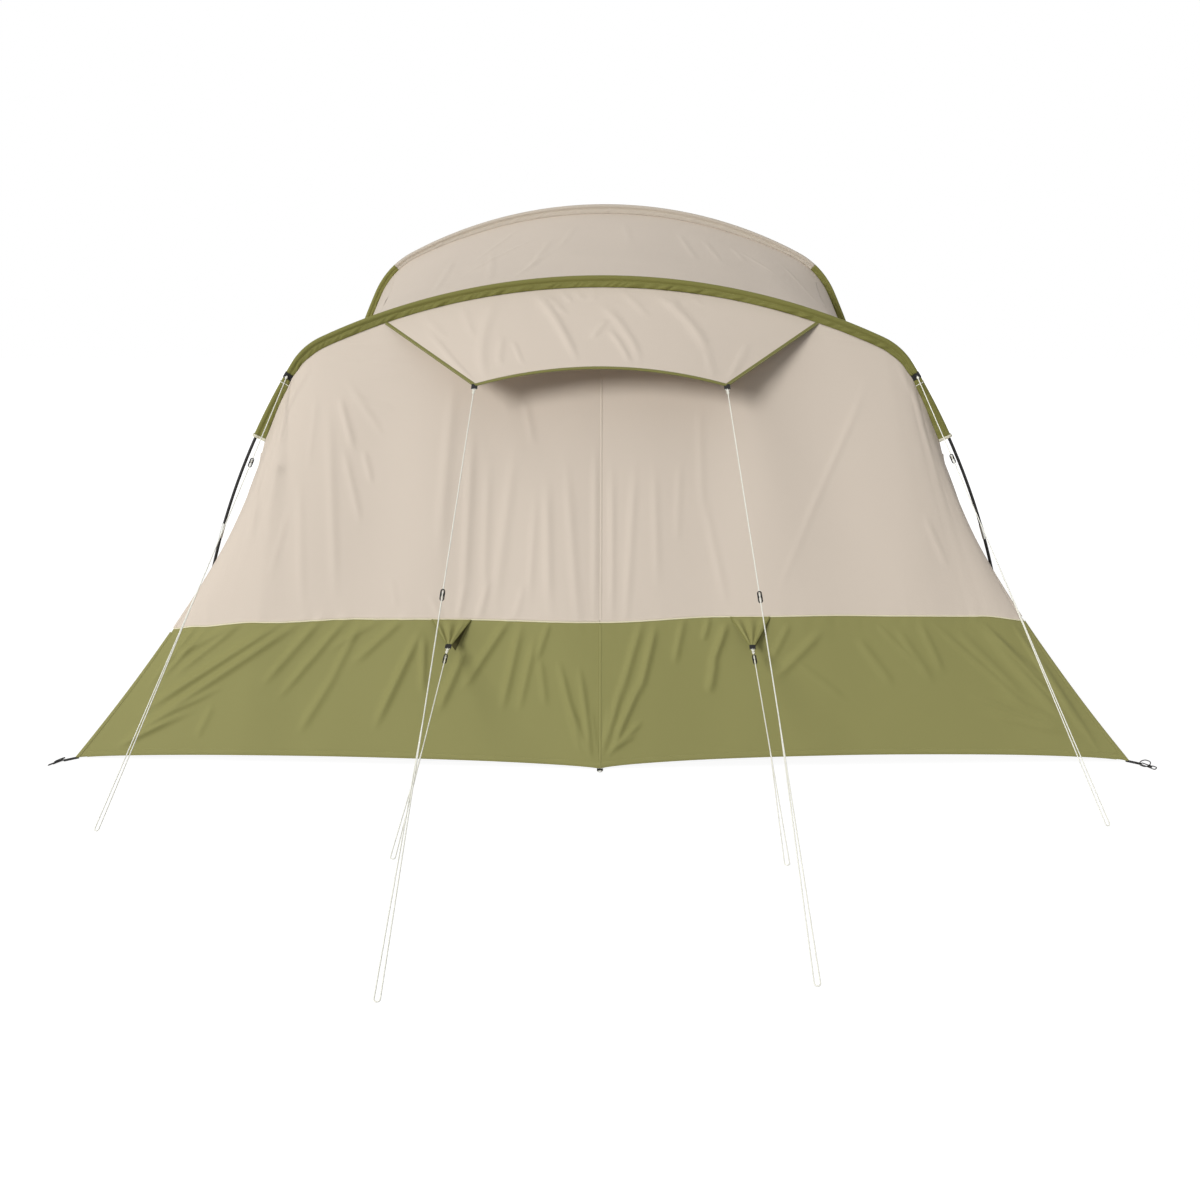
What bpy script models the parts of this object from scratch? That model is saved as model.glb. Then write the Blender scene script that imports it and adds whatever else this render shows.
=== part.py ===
"""Family tent: three hoops, a leaning rear end with a hood and two low vents, a flat front with a door.

X runs across the tent, Y along it with the rear end at -Y, Z up. The origin is on the ground at the
middle of the tent's own length and width, guy lines left out.
"""
import math
from collections import namedtuple

import bmesh
import bpy
from mathutils import Matrix, Vector

# Cloth and seams, metres
CLOTH = 0.002
SLEEVE_CLOTH = 0.0012
SEAM_GAP = 0.0004
FIT_GAP = 0.0003

# Hoops: pole centre line as three arcs a side, roof, elbow and leg
Hoop = namedtuple("Hoop", "y apex roof_radius roof_turn elbow_radius elbow_turn leg_radius")
REAR_APEX = 1.663
REAR_ROOF_RADIUS = 2.5
REAR_ROOF_TURN = 24.0
REAR_ELBOW_RADIUS = 0.25
REAR_ELBOW_TURN = 32.5
REAR_LEG_RADIUS = 2.6
MIDDLE_APEX = 2.075
FRONT_APEX = 2.0
TALL_ROOF_RADIUS = 2.1
TALL_ROOF_TURN = 27.0
TALL_ELBOW_RADIUS = 0.4
TALL_ELBOW_TURN = 37.5
TALL_LEG_RADIUS = 3.8

# Plan of the tent along Y, from the rear hem to the front
REAR_LEAN = 0.54
REAR_BAY = 1.80
FRONT_BAY = 1.62
BAY_SAG = 0.028

# Poles: a steel elbow at each shoulder, and a tip at each foot that stands in an eyelet
POLE_RADIUS = 0.0055
ELBOW_WALL = 0.0014
ELBOW_GRIP = 0.045
JOINT_CLEARANCE = 0.0005
FERRULE_LENGTH = 0.056
FERRULE_WALL = 0.0009
FERRULE_HEIGHT = 0.745
TIP_RADIUS = 0.0024
EYELET_RADIUS = 0.0032

# Pole sleeves, a fin of cloth from the fly up to the pole
SLEEVE_DEPTH = 0.045
SLEEVE_BORE = 0.0092
SLEEVE_FOOT_HALF = 0.001
SLEEVE_SEAT_GAP = 0.0012
WRAP_HEIGHT = 1.318
WRAP_WIDTH = 0.022
REAR_SLEEVE_END = 1.094
TALL_SLEEVE_END = 0.92

# Fly: heights of the colour seam and of the hems
SEAM_HEIGHT = 0.482
HEM_ARCH = 0.045
CORNER_X = 1.85
CORNER_LEAN = 0.445
RIDGE_HOLLOW = 0.4
VALLEY_SHARE = 0.012
FOLD_DEPTH = 0.006
FOLDS = 7
REAR_COLUMNS = 28
CORNER_OUT = (0.75, -0.66)

# Front doorway, its door and the zip slider
DOOR_HALF_WIDTH = 0.60
DOOR_SPRING_HEIGHT = 1.25
DOOR_TOP = 1.72
DOOR_EDGE_GAP = 0.004
THRESHOLD = 0.045
SLIDER_LENGTH = 0.03
SLIDER_WIDTH = 0.012
SLIDER_THICKNESS = 0.004
SLIDER_HEIGHT = 0.12

# Hood and low vents on the rear panel
HOOD_HALF_TOP = 0.775
HOOD_CORNER_X = 0.428
HOOD_CORNER_REACH = 0.33
HOOD_CORNER_HEIGHT = 1.297
HOOD_HEM_RISE = 0.058
VENT_X = 0.524
VENT_HALF_WIDTH = 0.068
VENT_REACH = 0.062
VENT_DROP = 0.066
VENT_TIP_HALF = 0.008
TAB_WIDTH = 0.016
TAB_LENGTH = 0.017
TAB_THICKNESS = 0.003

# Pegging points and groundsheet
CORNER_WEBBING_LENGTH = 0.045
CORNER_LOOP_LENGTH = 0.052
CORNER_LOOP_WIDTH = 0.016
LOOP_CORD_RADIUS = 0.0018
RING_RADIUS = 0.007
RING_WIRE = 0.0014
SHEET_HALF_WIDTH = 1.40
SHEET_REAR_REACH = 0.30
SHEET_THICKNESS = 0.0015
TAIL_WIDTH = 0.025
TAIL_PAST_FOOT = 0.022

# Guy lines: cord, its loop at the ground and the sliding tensioner
CORD_RADIUS = 0.00175
CORD_SLANT = 0.8
CORD_LOOP_RADIUS = 0.0072
CORD_CLEARANCE = 0.00035
PEG_HEIGHT = 0.0026
SLIDE_TRAVEL = 0.40
LEG_SPACING = 0.0085
TENSIONER_TILT = 30.0
TENSIONER_LENGTH = 0.036
TENSIONER_WIDTH = 0.0145
TENSIONER_THICKNESS = 0.003
BORE_SIDES = 10
# Pegging spot of each line from the rear hoop's plane, place of its tensioner, turn of its return leg
Guy = namedtuple("Guy", "peg_x peg_reach tensioner_at roll")
GUYS = {
    "hood_left": Guy(-0.480, 2.100, 0.940, 78.0),
    "hood_right": Guy(0.523, 2.020, 0.928, 103.0),
    "side_left": Guy(-1.508, 1.115, 0.386, 51.0),
    "side_right": Guy(1.561, 1.040, 0.361, 132.0),
    "vent_left": Guy(-0.578, 1.313, 0.055, 73.0),
    "vent_right": Guy(0.544, 1.344, 0.055, 102.0),
}

# Counts of shared stations from the apex to the shoulder seam, the ridges' tops, the colour seam, the hem
SHOULDER_STATION = 10
RIDGE_STATION = 16
SEAM_STATION = 22
HEM_STATION = 25

# Places worked out from the sizes above
HEM_HEIGHT = SHEET_THICKNESS + FIT_GAP
SLEEVE_EDGE = SLEEVE_BORE + SLEEVE_CLOTH
REAR_REACH = REAR_LEAN + CLOTH + FIT_GAP + TAB_LENGTH + FIT_GAP + 2 * (RING_RADIUS + RING_WIRE)
FRONT_REACH = TAIL_WIDTH / 2
REAR_Y = REAR_REACH - (REAR_REACH + REAR_BAY + FRONT_BAY + FRONT_REACH) / 2
MIDDLE_Y = REAR_Y + REAR_BAY
FRONT_Y = MIDDLE_Y + FRONT_BAY
REAR = Hoop(REAR_Y, REAR_APEX, REAR_ROOF_RADIUS, REAR_ROOF_TURN, REAR_ELBOW_RADIUS,
            REAR_ELBOW_TURN, REAR_LEG_RADIUS)
MIDDLE = Hoop(MIDDLE_Y, MIDDLE_APEX, TALL_ROOF_RADIUS, TALL_ROOF_TURN, TALL_ELBOW_RADIUS,
              TALL_ELBOW_TURN, TALL_LEG_RADIUS)
FRONT = Hoop(FRONT_Y, FRONT_APEX, TALL_ROOF_RADIUS, TALL_ROOF_TURN, TALL_ELBOW_RADIUS,
             TALL_ELBOW_TURN, TALL_LEG_RADIUS)
HOOPS = {"rear": REAR, "middle": MIDDLE, "front": FRONT}
SIDES = {"left": -1, "right": 1}
POLE_FOOT_HEIGHT = SHEET_THICKNESS + 3 * FIT_GAP
UP = Vector((0, 0, 1))
INSIDE = Vector((0, MIDDLE_Y - REAR_BAY / 2, 0.7))


def srgb(red, green, blue):
    """Linear colour from an 8-bit sRGB colour."""
    return tuple(((c / 255 + 0.055) / 1.055) ** 2.4 for c in (red, green, blue)) + (1.0,)


def material(name, colour, roughness, metallic=0.0):
    made = bpy.data.materials.new(name)
    made.use_nodes = True
    shader = made.node_tree.nodes["Principled BSDF"]
    shader.inputs["Base Color"].default_value = colour
    shader.inputs["Roughness"].default_value = roughness
    shader.inputs["Metallic"].default_value = metallic
    return made


for old in list(bpy.data.objects):
    bpy.data.objects.remove(old, do_unlink=True)
parts = bpy.data.collections.new("family_tent")
cutters = bpy.data.collections.new("cutters")
for collection in (parts, cutters):
    bpy.context.scene.collection.children.link(collection)

BEIGE = material("beige_cloth", srgb(216, 204, 190), 0.7)
GREEN = material("green_cloth", srgb(150, 147, 96), 0.7)
SLEEVE_GREEN = material("sleeve_green", srgb(122, 120, 70), 0.7)
SHEET = material("groundsheet", srgb(110, 112, 108), 0.6)
WEBBING = material("black_webbing", srgb(32, 30, 30), 0.8)
FIBREGLASS = material("black_fibreglass", srgb(34, 33, 32), 0.35)
STEEL = material("steel", srgb(190, 190, 186), 0.3, 1.0)
PLASTIC = material("black_plastic", srgb(40, 36, 32), 0.4)
CORD = material("cream_cord", srgb(238, 230, 208), 0.8)


def add(name, data, look, collection=parts):
    made = bpy.data.objects.new(name, data)
    collection.objects.link(made)
    if look is not None:
        made.data.materials.clear()
        made.data.materials.append(look)
    return made


def solidify(made, thickness, offset=1.0):
    shell = made.modifiers.new("cloth", "SOLIDIFY")
    shell.thickness = thickness
    shell.offset = offset
    return made


def to_mesh(grid, name):
    """A mesh of the faces gathered in a bmesh, which is freed."""
    mesh = bpy.data.meshes.new(name)
    grid.to_mesh(mesh)
    grid.free()
    mesh.shade_smooth()
    mesh.set_sharp_from_angle(angle=math.radians(40))
    return mesh


def laid_grid(surface, columns, rows):
    """A grid primitive laid over a surface given for two shares from 0 to 1."""
    grid = bmesh.new()
    bmesh.ops.create_grid(grid, x_segments=columns, y_segments=rows, size=0.5)
    for vertex in grid.verts:
        vertex.co = surface(vertex.co.x + 0.5, vertex.co.y + 0.5)
    grid.normal_update()
    return grid


def cloth(name, look, surface, columns, rows, thickness=CLOTH, inside=INSIDE):
    """A cloth piece laid over its surface and thickened away from the inside of the tent."""
    grid = laid_grid(surface, columns, rows)
    if sum((f.calc_center_median() - inside).dot(f.normal) * f.calc_area() for f in grid.faces) < 0:
        bmesh.ops.reverse_faces(grid, faces=grid.faces)
    return solidify(add(name, to_mesh(grid, name), look), thickness)


def rod(name, look, path, radius, resolution=2, caps=True, cyclic=False, swell=None):
    """A round bar along a list of points, which may swell or narrow from point to point."""
    curve = bpy.data.curves.new(name, "CURVE")
    curve.dimensions = "3D"
    curve.bevel_depth = radius
    curve.bevel_resolution = resolution
    curve.use_fill_caps = caps
    spline = curve.splines.new("POLY")
    spline.points.add(len(path) - 1)
    spline.use_cyclic_u = cyclic
    for point, place, share in zip(spline.points, path, swell or [1.0] * len(path)):
        point.co = (*place, 1.0)
        point.radius = share
    return add(name, curve, look)


def as_mesh(made):
    """The object's evaluated shape as a mesh object in its place, caps welded."""
    bpy.context.view_layer.update()
    evaluated = made.evaluated_get(bpy.context.evaluated_depsgraph_get())
    mesh = bpy.data.meshes.new_from_object(evaluated)
    grid = bmesh.new()
    grid.from_mesh(mesh)
    bmesh.ops.remove_doubles(grid, verts=grid.verts, dist=0.00001)
    name, look, matrix = made.name, made.data.materials[0], made.matrix_world.copy()
    bpy.data.objects.remove(made, do_unlink=True)
    solid = add(name, to_mesh(grid, name), look)
    solid.matrix_world = matrix
    return solid


def tube(name, look, path, radius, wall):
    """A hollow tube with open ends along a list of points."""
    skin = as_mesh(rod(name, look, path, radius, caps=False))
    grid = bmesh.new()
    grid.from_mesh(skin.data)
    bmesh.ops.recalc_face_normals(grid, faces=grid.faces)
    grid.to_mesh(skin.data)
    grid.free()
    return solidify(skin, wall, -1.0)


def shaped(made, operation, tool):
    """Joins another object's shape to this one or takes it out, and puts the tool with the guides."""
    for collection in list(tool.users_collection):
        collection.objects.unlink(tool)
    cutters.objects.link(tool)
    tool.hide_render = True
    tool.display_type = "WIRE"
    change = made.modifiers.new(tool.name, "BOOLEAN")
    change.operation = operation
    change.object = tool
    return made


def round_cutter(name, matrix, radius, length):
    grid = bmesh.new()
    bmesh.ops.create_cone(grid, cap_ends=True, segments=BORE_SIDES, radius1=radius, radius2=radius,
                          depth=length, matrix=matrix)
    return add(name, to_mesh(grid, name), None, cutters)


def outline_curve(name, outlines, thickness):
    """A flat plate in its own XY plane, its first outline filled and the others left as holes."""
    curve = bpy.data.curves.new(name, "CURVE")
    curve.dimensions = "2D"
    curve.fill_mode = "BOTH"
    curve.extrude = thickness / 2
    for outline in outlines:
        spline = curve.splines.new("POLY")
        spline.points.add(len(outline) - 1)
        spline.use_cyclic_u = True
        for point, (x, y) in zip(spline.points, outline):
            point.co = (x, y, 0.0, 1.0)
    return curve


def flat_sheet(name, look, outlines, y, thickness):
    """An upright flat piece across the tent, from outlines of (x, z) points, from y to y + thickness."""
    made = add(name, outline_curve(name, outlines, thickness), look)
    made.rotation_euler = (math.pi / 2, 0, 0)
    made.location = (0, y + thickness / 2, 0)
    return as_mesh(made)


def box(name, look, matrix, size):
    """A box with its centre and axes given by a matrix."""
    grid = bmesh.new()
    bmesh.ops.create_cube(grid, size=1.0, matrix=matrix @ Matrix.Diagonal((*size, 1.0)))
    return add(name, to_mesh(grid, name), look)


def frame_at(place, along, across):
    """Matrix at a place with local Z along one direction and local X as near another as it can be."""
    z_axis = along.normalized()
    y_axis = z_axis.cross(across).normalized()
    x_axis = y_axis.cross(z_axis)
    rotation = Matrix((x_axis, y_axis, z_axis)).transposed().to_4x4()
    return Matrix.Translation(place) @ rotation


def mix(start, end, share):
    return start + (end - start) * share


# Hoop line


def arcs(hoop):
    """Radius and length of the roof arc, the elbow and the leg of one side."""
    roof = hoop.roof_radius * math.radians(hoop.roof_turn)
    elbow = hoop.elbow_radius * math.radians(hoop.elbow_turn)
    return (hoop.roof_radius, roof), (hoop.elbow_radius, elbow), (hoop.leg_radius, math.inf)


def hoop_point(hoop, along, drop=0.0):
    """Point at a length along the pole from the apex, moved in by drop, and the outward direction."""
    side = 1 if along >= 0 else -1
    left = abs(along)
    x, z, heading = 0.0, hoop.apex, 0.0
    for radius, length in arcs(hoop):
        turned = heading + min(left, length) / radius
        x += radius * (math.sin(turned) - math.sin(heading))
        z -= radius * (math.cos(heading) - math.cos(turned))
        heading = turned
        left -= length
        if left <= 0:
            break
    outward = Vector((side * math.sin(heading), 0, math.cos(heading)))
    return Vector((side * x, hoop.y, z)) - drop * outward, outward


def along_at_height(hoop, height, drop=0.0):
    """Length along the hoop at which the line at this drop comes down to a height."""
    low, high = 0.0, 2 * hoop.apex
    for _ in range(50):
        middle = (low + high) / 2
        if hoop_point(hoop, middle, drop)[0].z > height:
            low = middle
        else:
            high = middle
    return low


def along_at_x(hoop, x, drop=0.0):
    """Length along the hoop's roof at which the line at this drop reaches a distance from the centre."""
    low, high = 0.0, hoop.apex
    for _ in range(50):
        middle = (low + high) / 2
        if hoop_point(hoop, middle, drop)[0].x < x:
            low = middle
        else:
            high = middle
    return low


def stations(hoop):
    """Lengths along one side of a hoop, shared by its poles, its sleeve and the fly."""
    roof = arcs(hoop)[0][1]
    bend = roof + arcs(hoop)[1][1]
    ferrule = along_at_height(hoop, FERRULE_HEIGHT)
    steps = [
        (roof - ELBOW_GRIP, 7),
        (roof, 1),
        ((roof + bend) / 2, 2),
        (bend, 2),
        (bend + ELBOW_GRIP, 1),
        (ferrule - FERRULE_LENGTH / 2, 6),
        (ferrule + FERRULE_LENGTH / 2, 1),
        (along_at_height(hoop, SEAM_HEIGHT, SLEEVE_DEPTH), 2),
        (along_at_height(hoop, HEM_HEIGHT, SLEEVE_DEPTH), 3),
    ]
    lengths = [0.0]
    for end, count in steps:
        start = lengths[-1]
        lengths += [mix(start, end, (i + 1) / count) for i in range(count)]
    return lengths


def between(hoop, start, end):
    """The hoop's shared stations from one length to another, both ends included."""
    return [start] + [s for s in stations(hoop) if start + 0.002 < s < end - 0.002] + [end]


def both_ways(lengths):
    """Stations of one side, from the apex down, with the other side's before them."""
    return [-s for s in reversed(lengths)] + [s for s in lengths if s > 0]


def at_index(values, share):
    return values[round(share * (len(values) - 1))]


# Poles, elbows, ferrules and groundsheet


def pole_marks(hoop):
    """Lengths along one side of a hoop: end of the roof pole, end of the elbow's bend, and the foot."""
    roof = arcs(hoop)[0][1]
    return roof, roof + arcs(hoop)[1][1], along_at_height(hoop, POLE_FOOT_HEIGHT)


def line_on(hoop, side, lengths):
    return [hoop_point(hoop, side * s)[0] for s in lengths]


def build_hoop(name, hoop):
    """A roof pole and two legs of fibreglass, held at the shoulders by bent steel elbows."""
    roof_end, bend_end, foot = pole_marks(hoop)
    roof = both_ways(between(hoop, 0.0, roof_end))
    rod(f"{name}_roof_pole", FIBREGLASS, line_on(hoop, 1, roof), POLE_RADIUS)
    for side_name, side in SIDES.items():
        bent = between(hoop, roof_end - ELBOW_GRIP, bend_end + ELBOW_GRIP)
        radius = POLE_RADIUS + JOINT_CLEARANCE + ELBOW_WALL
        tube(f"{name}_elbow_{side_name}", STEEL, line_on(hoop, side, bent), radius, ELBOW_WALL)
        leg = between(hoop, bend_end + FIT_GAP, foot) + [foot + FIT_GAP, foot + SHEET_THICKNESS]
        swell = [1.0] * (len(leg) - 2) + [TIP_RADIUS / POLE_RADIUS] * 2
        rod(f"{name}_leg_{side_name}", FIBREGLASS, line_on(hoop, side, leg), POLE_RADIUS, swell=swell)


def build_ferrules():
    """The steel ferrule that shows on each bare rear leg."""
    middle = along_at_height(REAR, FERRULE_HEIGHT)
    lengths = between(REAR, middle - FERRULE_LENGTH / 2, middle + FERRULE_LENGTH / 2)
    for side_name, side in SIDES.items():
        tube(f"rear_ferrule_{side_name}", STEEL, line_on(REAR, side, lengths),
             POLE_RADIUS + JOINT_CLEARANCE + FERRULE_WALL, FERRULE_WALL)


def ring_of(x, y, radius, count=10):
    turns = [math.tau * i / count for i in range(count)]
    return [(x + radius * math.cos(a), y + radius * math.sin(a)) for a in turns]


def build_groundsheet():
    """A flat sheet with six webbing tails, each with an eyelet for a pole tip."""
    right = [(SHEET_HALF_WIDTH, REAR_Y - SHEET_REAR_REACH)]
    holes = []
    for hoop in HOOPS.values():
        x = hoop_point(hoop, pole_marks(hoop)[2])[0].x
        tail, near, far = x + TAIL_PAST_FOOT, hoop.y - TAIL_WIDTH / 2, hoop.y + TAIL_WIDTH / 2
        right += [(SHEET_HALF_WIDTH, near), (tail, near), (tail, far), (SHEET_HALF_WIDTH, far)]
        holes += [ring_of(side * x, hoop.y, EYELET_RADIUS) for side in SIDES.values()]
    right.pop()
    outline = right + [(-x, y) for x, y in reversed(right)]
    sheet = add("groundsheet", outline_curve("groundsheet", [outline, *holes], SHEET_THICKNESS), SHEET)
    sheet.location.z = SHEET_THICKNESS / 2
    as_mesh(sheet)


# Sleeves and the wraps of the side guys


def sleeve(name, look, hoop, lengths):
    """A strip that leaves the fly, goes round the pole and comes back, swept along the hoop."""
    seat = SLEEVE_DEPTH - CLOTH - SLEEVE_SEAT_GAP
    bore = SLEEVE_BORE
    around = [(-seat, -SLEEVE_FOOT_HALF), (-bore / 3, -bore), (bore * 0.7, -bore * 0.72), (bore, 0),
              (bore * 0.7, bore * 0.72), (-bore / 3, bore), (-seat, SLEEVE_FOOT_HALF)]

    def surface(u, v):
        place, outward = hoop_point(hoop, at_index(lengths, u))
        out, along_y = at_index(around, v)
        return place + outward * out + Vector((0, along_y, 0))

    grid = laid_grid(surface, len(lengths) - 1, len(around) - 1)
    pole = hoop_point(hoop, mix(lengths[0], lengths[1], 0.5))[0]
    near = min(grid.faces, key=lambda f: (f.calc_center_median() - pole).length)
    if (near.calc_center_median() - pole).dot(near.normal) < 0:
        bmesh.ops.reverse_faces(grid, faces=grid.faces)
    return solidify(add(name, to_mesh(grid, name), look), SLEEVE_CLOTH)


def build_sleeves():
    wrap = along_at_height(REAR, WRAP_HEIGHT)
    wrap_start, wrap_end = wrap - WRAP_WIDTH / 2, wrap + WRAP_WIDTH / 2
    arch_line = both_ways(between(REAR, 0.0, wrap_start - SEAM_GAP))
    sleeve("rear_sleeve_arch", SLEEVE_GREEN, REAR, arch_line)
    lower = between(REAR, wrap_end + SEAM_GAP, along_at_height(REAR, REAR_SLEEVE_END))
    for name, side in SIDES.items():
        sleeve(f"rear_sleeve_lower_{name}", SLEEVE_GREEN, REAR, [side * s for s in lower])
        sleeve(f"side_guy_wrap_{name}", WEBBING, REAR, [side * wrap_start, side * wrap_end])
    for name, hoop in (("middle", MIDDLE), ("front", FRONT)):
        line = both_ways(between(hoop, 0.0, along_at_height(hoop, TALL_SLEEVE_END)))
        sleeve(f"{name}_sleeve", SLEEVE_GREEN, hoop, line)


# Rear end: two panels and two skirts that lean out to the pegs


RIDGE_ALONG = stations(REAR)[RIDGE_STATION]
RIDGE_TOP = hoop_point(REAR, RIDGE_ALONG, SLEEVE_DEPTH)[0].z
HOOD_ALONG = along_at_x(REAR, HOOD_HALF_TOP, SLEEVE_DEPTH)


def rear_top(u):
    """Top edge of the rear panels on the rear hoop: 0 is the apex, 1 and -1 the tops of the ridges."""
    return hoop_point(REAR, u * RIDGE_ALONG, SLEEVE_DEPTH)[0]


def rear_point(u, height):
    """A point of the rear panels: u across as for rear_top, at a height."""
    top = rear_top(u)
    share = min(1.0, max(0.0, (top.z - height) / top.z))
    x = mix(top.x, u * CORNER_X, share ** (1 + RIDGE_HOLLOW * u ** 4))
    y = REAR_Y - share * mix(REAR_LEAN, CORNER_LEAN, abs(u))
    fold = FOLD_DEPTH * math.sin(math.pi * share) * math.sin(math.pi * FOLDS * abs(u)) * (1 - u ** 4)
    return Vector((x, y - fold, height))


def rear_at(x, height):
    """The point of the rear panels at a distance from the centre and a height."""
    low, high = 0.0, 1.0
    for _ in range(40):
        middle = (low + high) / 2
        if rear_point(middle, height).x < abs(x):
            low = middle
        else:
            high = middle
    place = rear_point(low, height)
    return Vector((math.copysign(place.x, x), place.y, place.z))


def rear_hem_height(u):
    """The hem rises between its pegs at the centre and the corners."""
    return HEM_HEIGHT + HEM_ARCH * max(0.0, 4 * abs(u) * (1 - abs(u))) ** 0.6


def rear_cloth(side, top, bottom):
    """The surface of one rear panel or skirt between two edges, each a height for a share across."""
    def surface(u, v):
        across = side * u
        middle = Vector((side * SEAM_GAP / 2 * (1 - u), -SEAM_GAP / 2, 0))
        return rear_point(across, mix(top(across), bottom(across), v)) + middle
    return surface


def build_rear_end():
    above, below = SEAM_HEIGHT + SEAM_GAP / 2, SEAM_HEIGHT - SEAM_GAP / 2
    for name, side in SIDES.items():
        panel = rear_cloth(side, lambda u: rear_top(u).z, lambda u: above)
        cloth(f"rear_panel_{name}", BEIGE, panel, REAR_COLUMNS, 8)
        skirt = rear_cloth(side, lambda u: below, rear_hem_height)
        cloth(f"rear_skirt_{name}", GREEN, skirt, REAR_COLUMNS, 4)


# Roof, walls and side skirts


def bay_point(back, front, length_back, length_front, share, drop=SLEEVE_DEPTH):
    """Cloth drawn straight from one hoop to the next, sagging a little between them."""
    a, out_a = hoop_point(back, length_back, drop)
    b, out_b = hoop_point(front, length_front, drop)
    place = a.lerp(b, share)
    sag = BAY_SAG * 4 * share * (1 - share) * min(1.0, place.z / SEAM_HEIGHT)
    return place - out_a.lerp(out_b, share).normalized() * sag


def fly_point(lengths, run):
    """A point of the fly: run goes from 0 at the rear hoop through 1 at the middle one to 2 at the front."""
    if run <= 1:
        return bay_point(REAR, MIDDLE, lengths[0], lengths[1], run)
    return bay_point(MIDDLE, FRONT, lengths[1], lengths[2], run - 1)


def fly_columns(side, first, last):
    """For each hoop, its stations from one to another, held back half a seam gap at both ends."""
    columns = []
    for hoop in HOOPS.values():
        lengths = stations(hoop)[first:last + 1]
        lengths[0] += SEAM_GAP / 2 if first else 0.0
        lengths[-1] -= SEAM_GAP / 2
        columns.append([side * s for s in lengths])
    return columns


def build_fly():
    first, last = SEAM_GAP / REAR_BAY, 2 - SEAM_GAP / FRONT_BAY
    inner = [0.25, 0.5, 0.75, 1.0, 1.25, 1.5, 1.75]
    roof_runs = [first, *inner, last]
    roof_lines = [both_ways(c) for c in fly_columns(1, 0, SHOULDER_STATION)]

    def roof(u, v):
        return fly_point([at_index(line, u) for line in roof_lines], at_index(roof_runs, v))

    cloth("roof", BEIGE, roof, len(roof_lines[0]) - 1, len(roof_runs) - 1)
    wall_runs = [-1.0, -0.5, VALLEY_SHARE, *inner, last]

    def wall(side, columns):
        def surface(u, v):
            lengths = [at_index(line, u) for line in columns]
            run = at_index(wall_runs, v)
            if run > 0:
                return fly_point(lengths, run)
            edge = fly_point(lengths, first)
            if edge.z < RIDGE_TOP - FIT_GAP:
                edge = rear_point(side, edge.z) + Vector((0, SEAM_GAP, 0))
            return fly_point(lengths, VALLEY_SHARE).lerp(edge, -run)
        return surface

    for name, side in SIDES.items():
        beige = fly_columns(side, SHOULDER_STATION, SEAM_STATION)
        cloth(f"side_wall_{name}", BEIGE, wall(side, beige), len(beige[0]) - 1, len(wall_runs) - 1)
        green = fly_columns(side, SEAM_STATION, HEM_STATION)
        cloth(f"side_skirt_{name}", GREEN, wall(side, green), len(green[0]) - 1, len(wall_runs) - 1)


# Front end: panel, door and zip slider


def arch(left, right, bottom, spring, top, count=14):
    """Outline of a doorway from its left foot over the arch to its right foot."""
    half, centre = (right - left) / 2, (left + right) / 2
    turns = [math.pi * i / count for i in range(count + 1)]
    curve = [(centre - half * math.cos(a), spring + (top - spring) * math.sin(a)) for a in turns]
    return [(left, bottom), *curve, (right, bottom)]


def build_front_end():
    """An upright panel in the front hoop with a doorway, its door sewn at the left, and a zip slider."""
    face = FRONT_Y + SEAM_GAP / 2
    line = both_ways(stations(FRONT))
    edge = [(p.x, p.z) for p in (hoop_point(FRONT, s, SLEEVE_DEPTH - CLOTH)[0] for s in line)]
    doorway = arch(-DOOR_HALF_WIDTH, DOOR_HALF_WIDTH, THRESHOLD, DOOR_SPRING_HEIGHT, DOOR_TOP)
    flat_sheet("front_panel", BEIGE, [edge, doorway], face, CLOTH)
    gap = DOOR_EDGE_GAP
    sewn, free = -DOOR_HALF_WIDTH + SEAM_GAP, DOOR_HALF_WIDTH - gap
    leaf = arch(sewn, free, THRESHOLD + gap, DOOR_SPRING_HEIGHT, DOOR_TOP - gap)
    flat_sheet("front_door", BEIGE, [leaf], face, CLOTH)
    out = face + CLOTH + FIT_GAP + SLIDER_THICKNESS / 2
    place = Matrix.Translation((DOOR_HALF_WIDTH + SLIDER_WIDTH / 2, out, SLIDER_HEIGHT))
    box("door_zip_slider", PLASTIC, place, (SLIDER_WIDTH, SLIDER_THICKNESS, SLIDER_LENGTH))


# Hood, vents and webbing on the rear end


def hood_hem(u):
    """The hood's lower edge, from its left corner to its right one, arching up between them."""
    height = HOOD_CORNER_HEIGHT + HOOD_HEM_RISE * (1 - (2 * u - 1) ** 2)
    return Vector((mix(-HOOD_CORNER_X, HOOD_CORNER_X, u), REAR_Y - HOOD_CORNER_REACH, height))


def hood_surface(u, v):
    top = hoop_point(REAR, mix(-HOOD_ALONG, HOOD_ALONG, u), SLEEVE_DEPTH)[0]
    return (top + Vector((0, -CLOTH - 2 * SEAM_GAP, -SEAM_GAP))).lerp(hood_hem(u), v)


def vent_tip(side):
    return rear_at(side * VENT_X, SEAM_HEIGHT - VENT_DROP) - Vector((0, VENT_REACH, 0))


def vent_surface(side):
    def surface(u, v):
        x = VENT_X + VENT_HALF_WIDTH * (2 * u - 1)
        top = rear_at(side * x, SEAM_HEIGHT - SEAM_GAP) - Vector((0, CLOTH + 2 * SEAM_GAP, 0))
        tip = vent_tip(side) + Vector((side * VENT_TIP_HALF * (2 * u - 1), 0, 0))
        return top.lerp(tip, v)
    return surface


def build_hood_and_vents():
    cloth("vent_hood", BEIGE, hood_surface, 16, 4)
    for name, side in SIDES.items():
        cloth(f"vent_flap_{name}", GREEN, vent_surface(side), 4, 4)
    for name in GUYS:
        if not name.startswith("side"):
            box(f"{name}_tab", WEBBING, tab_place(name), (TAB_WIDTH, TAB_THICKNESS, TAB_LENGTH))


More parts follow.
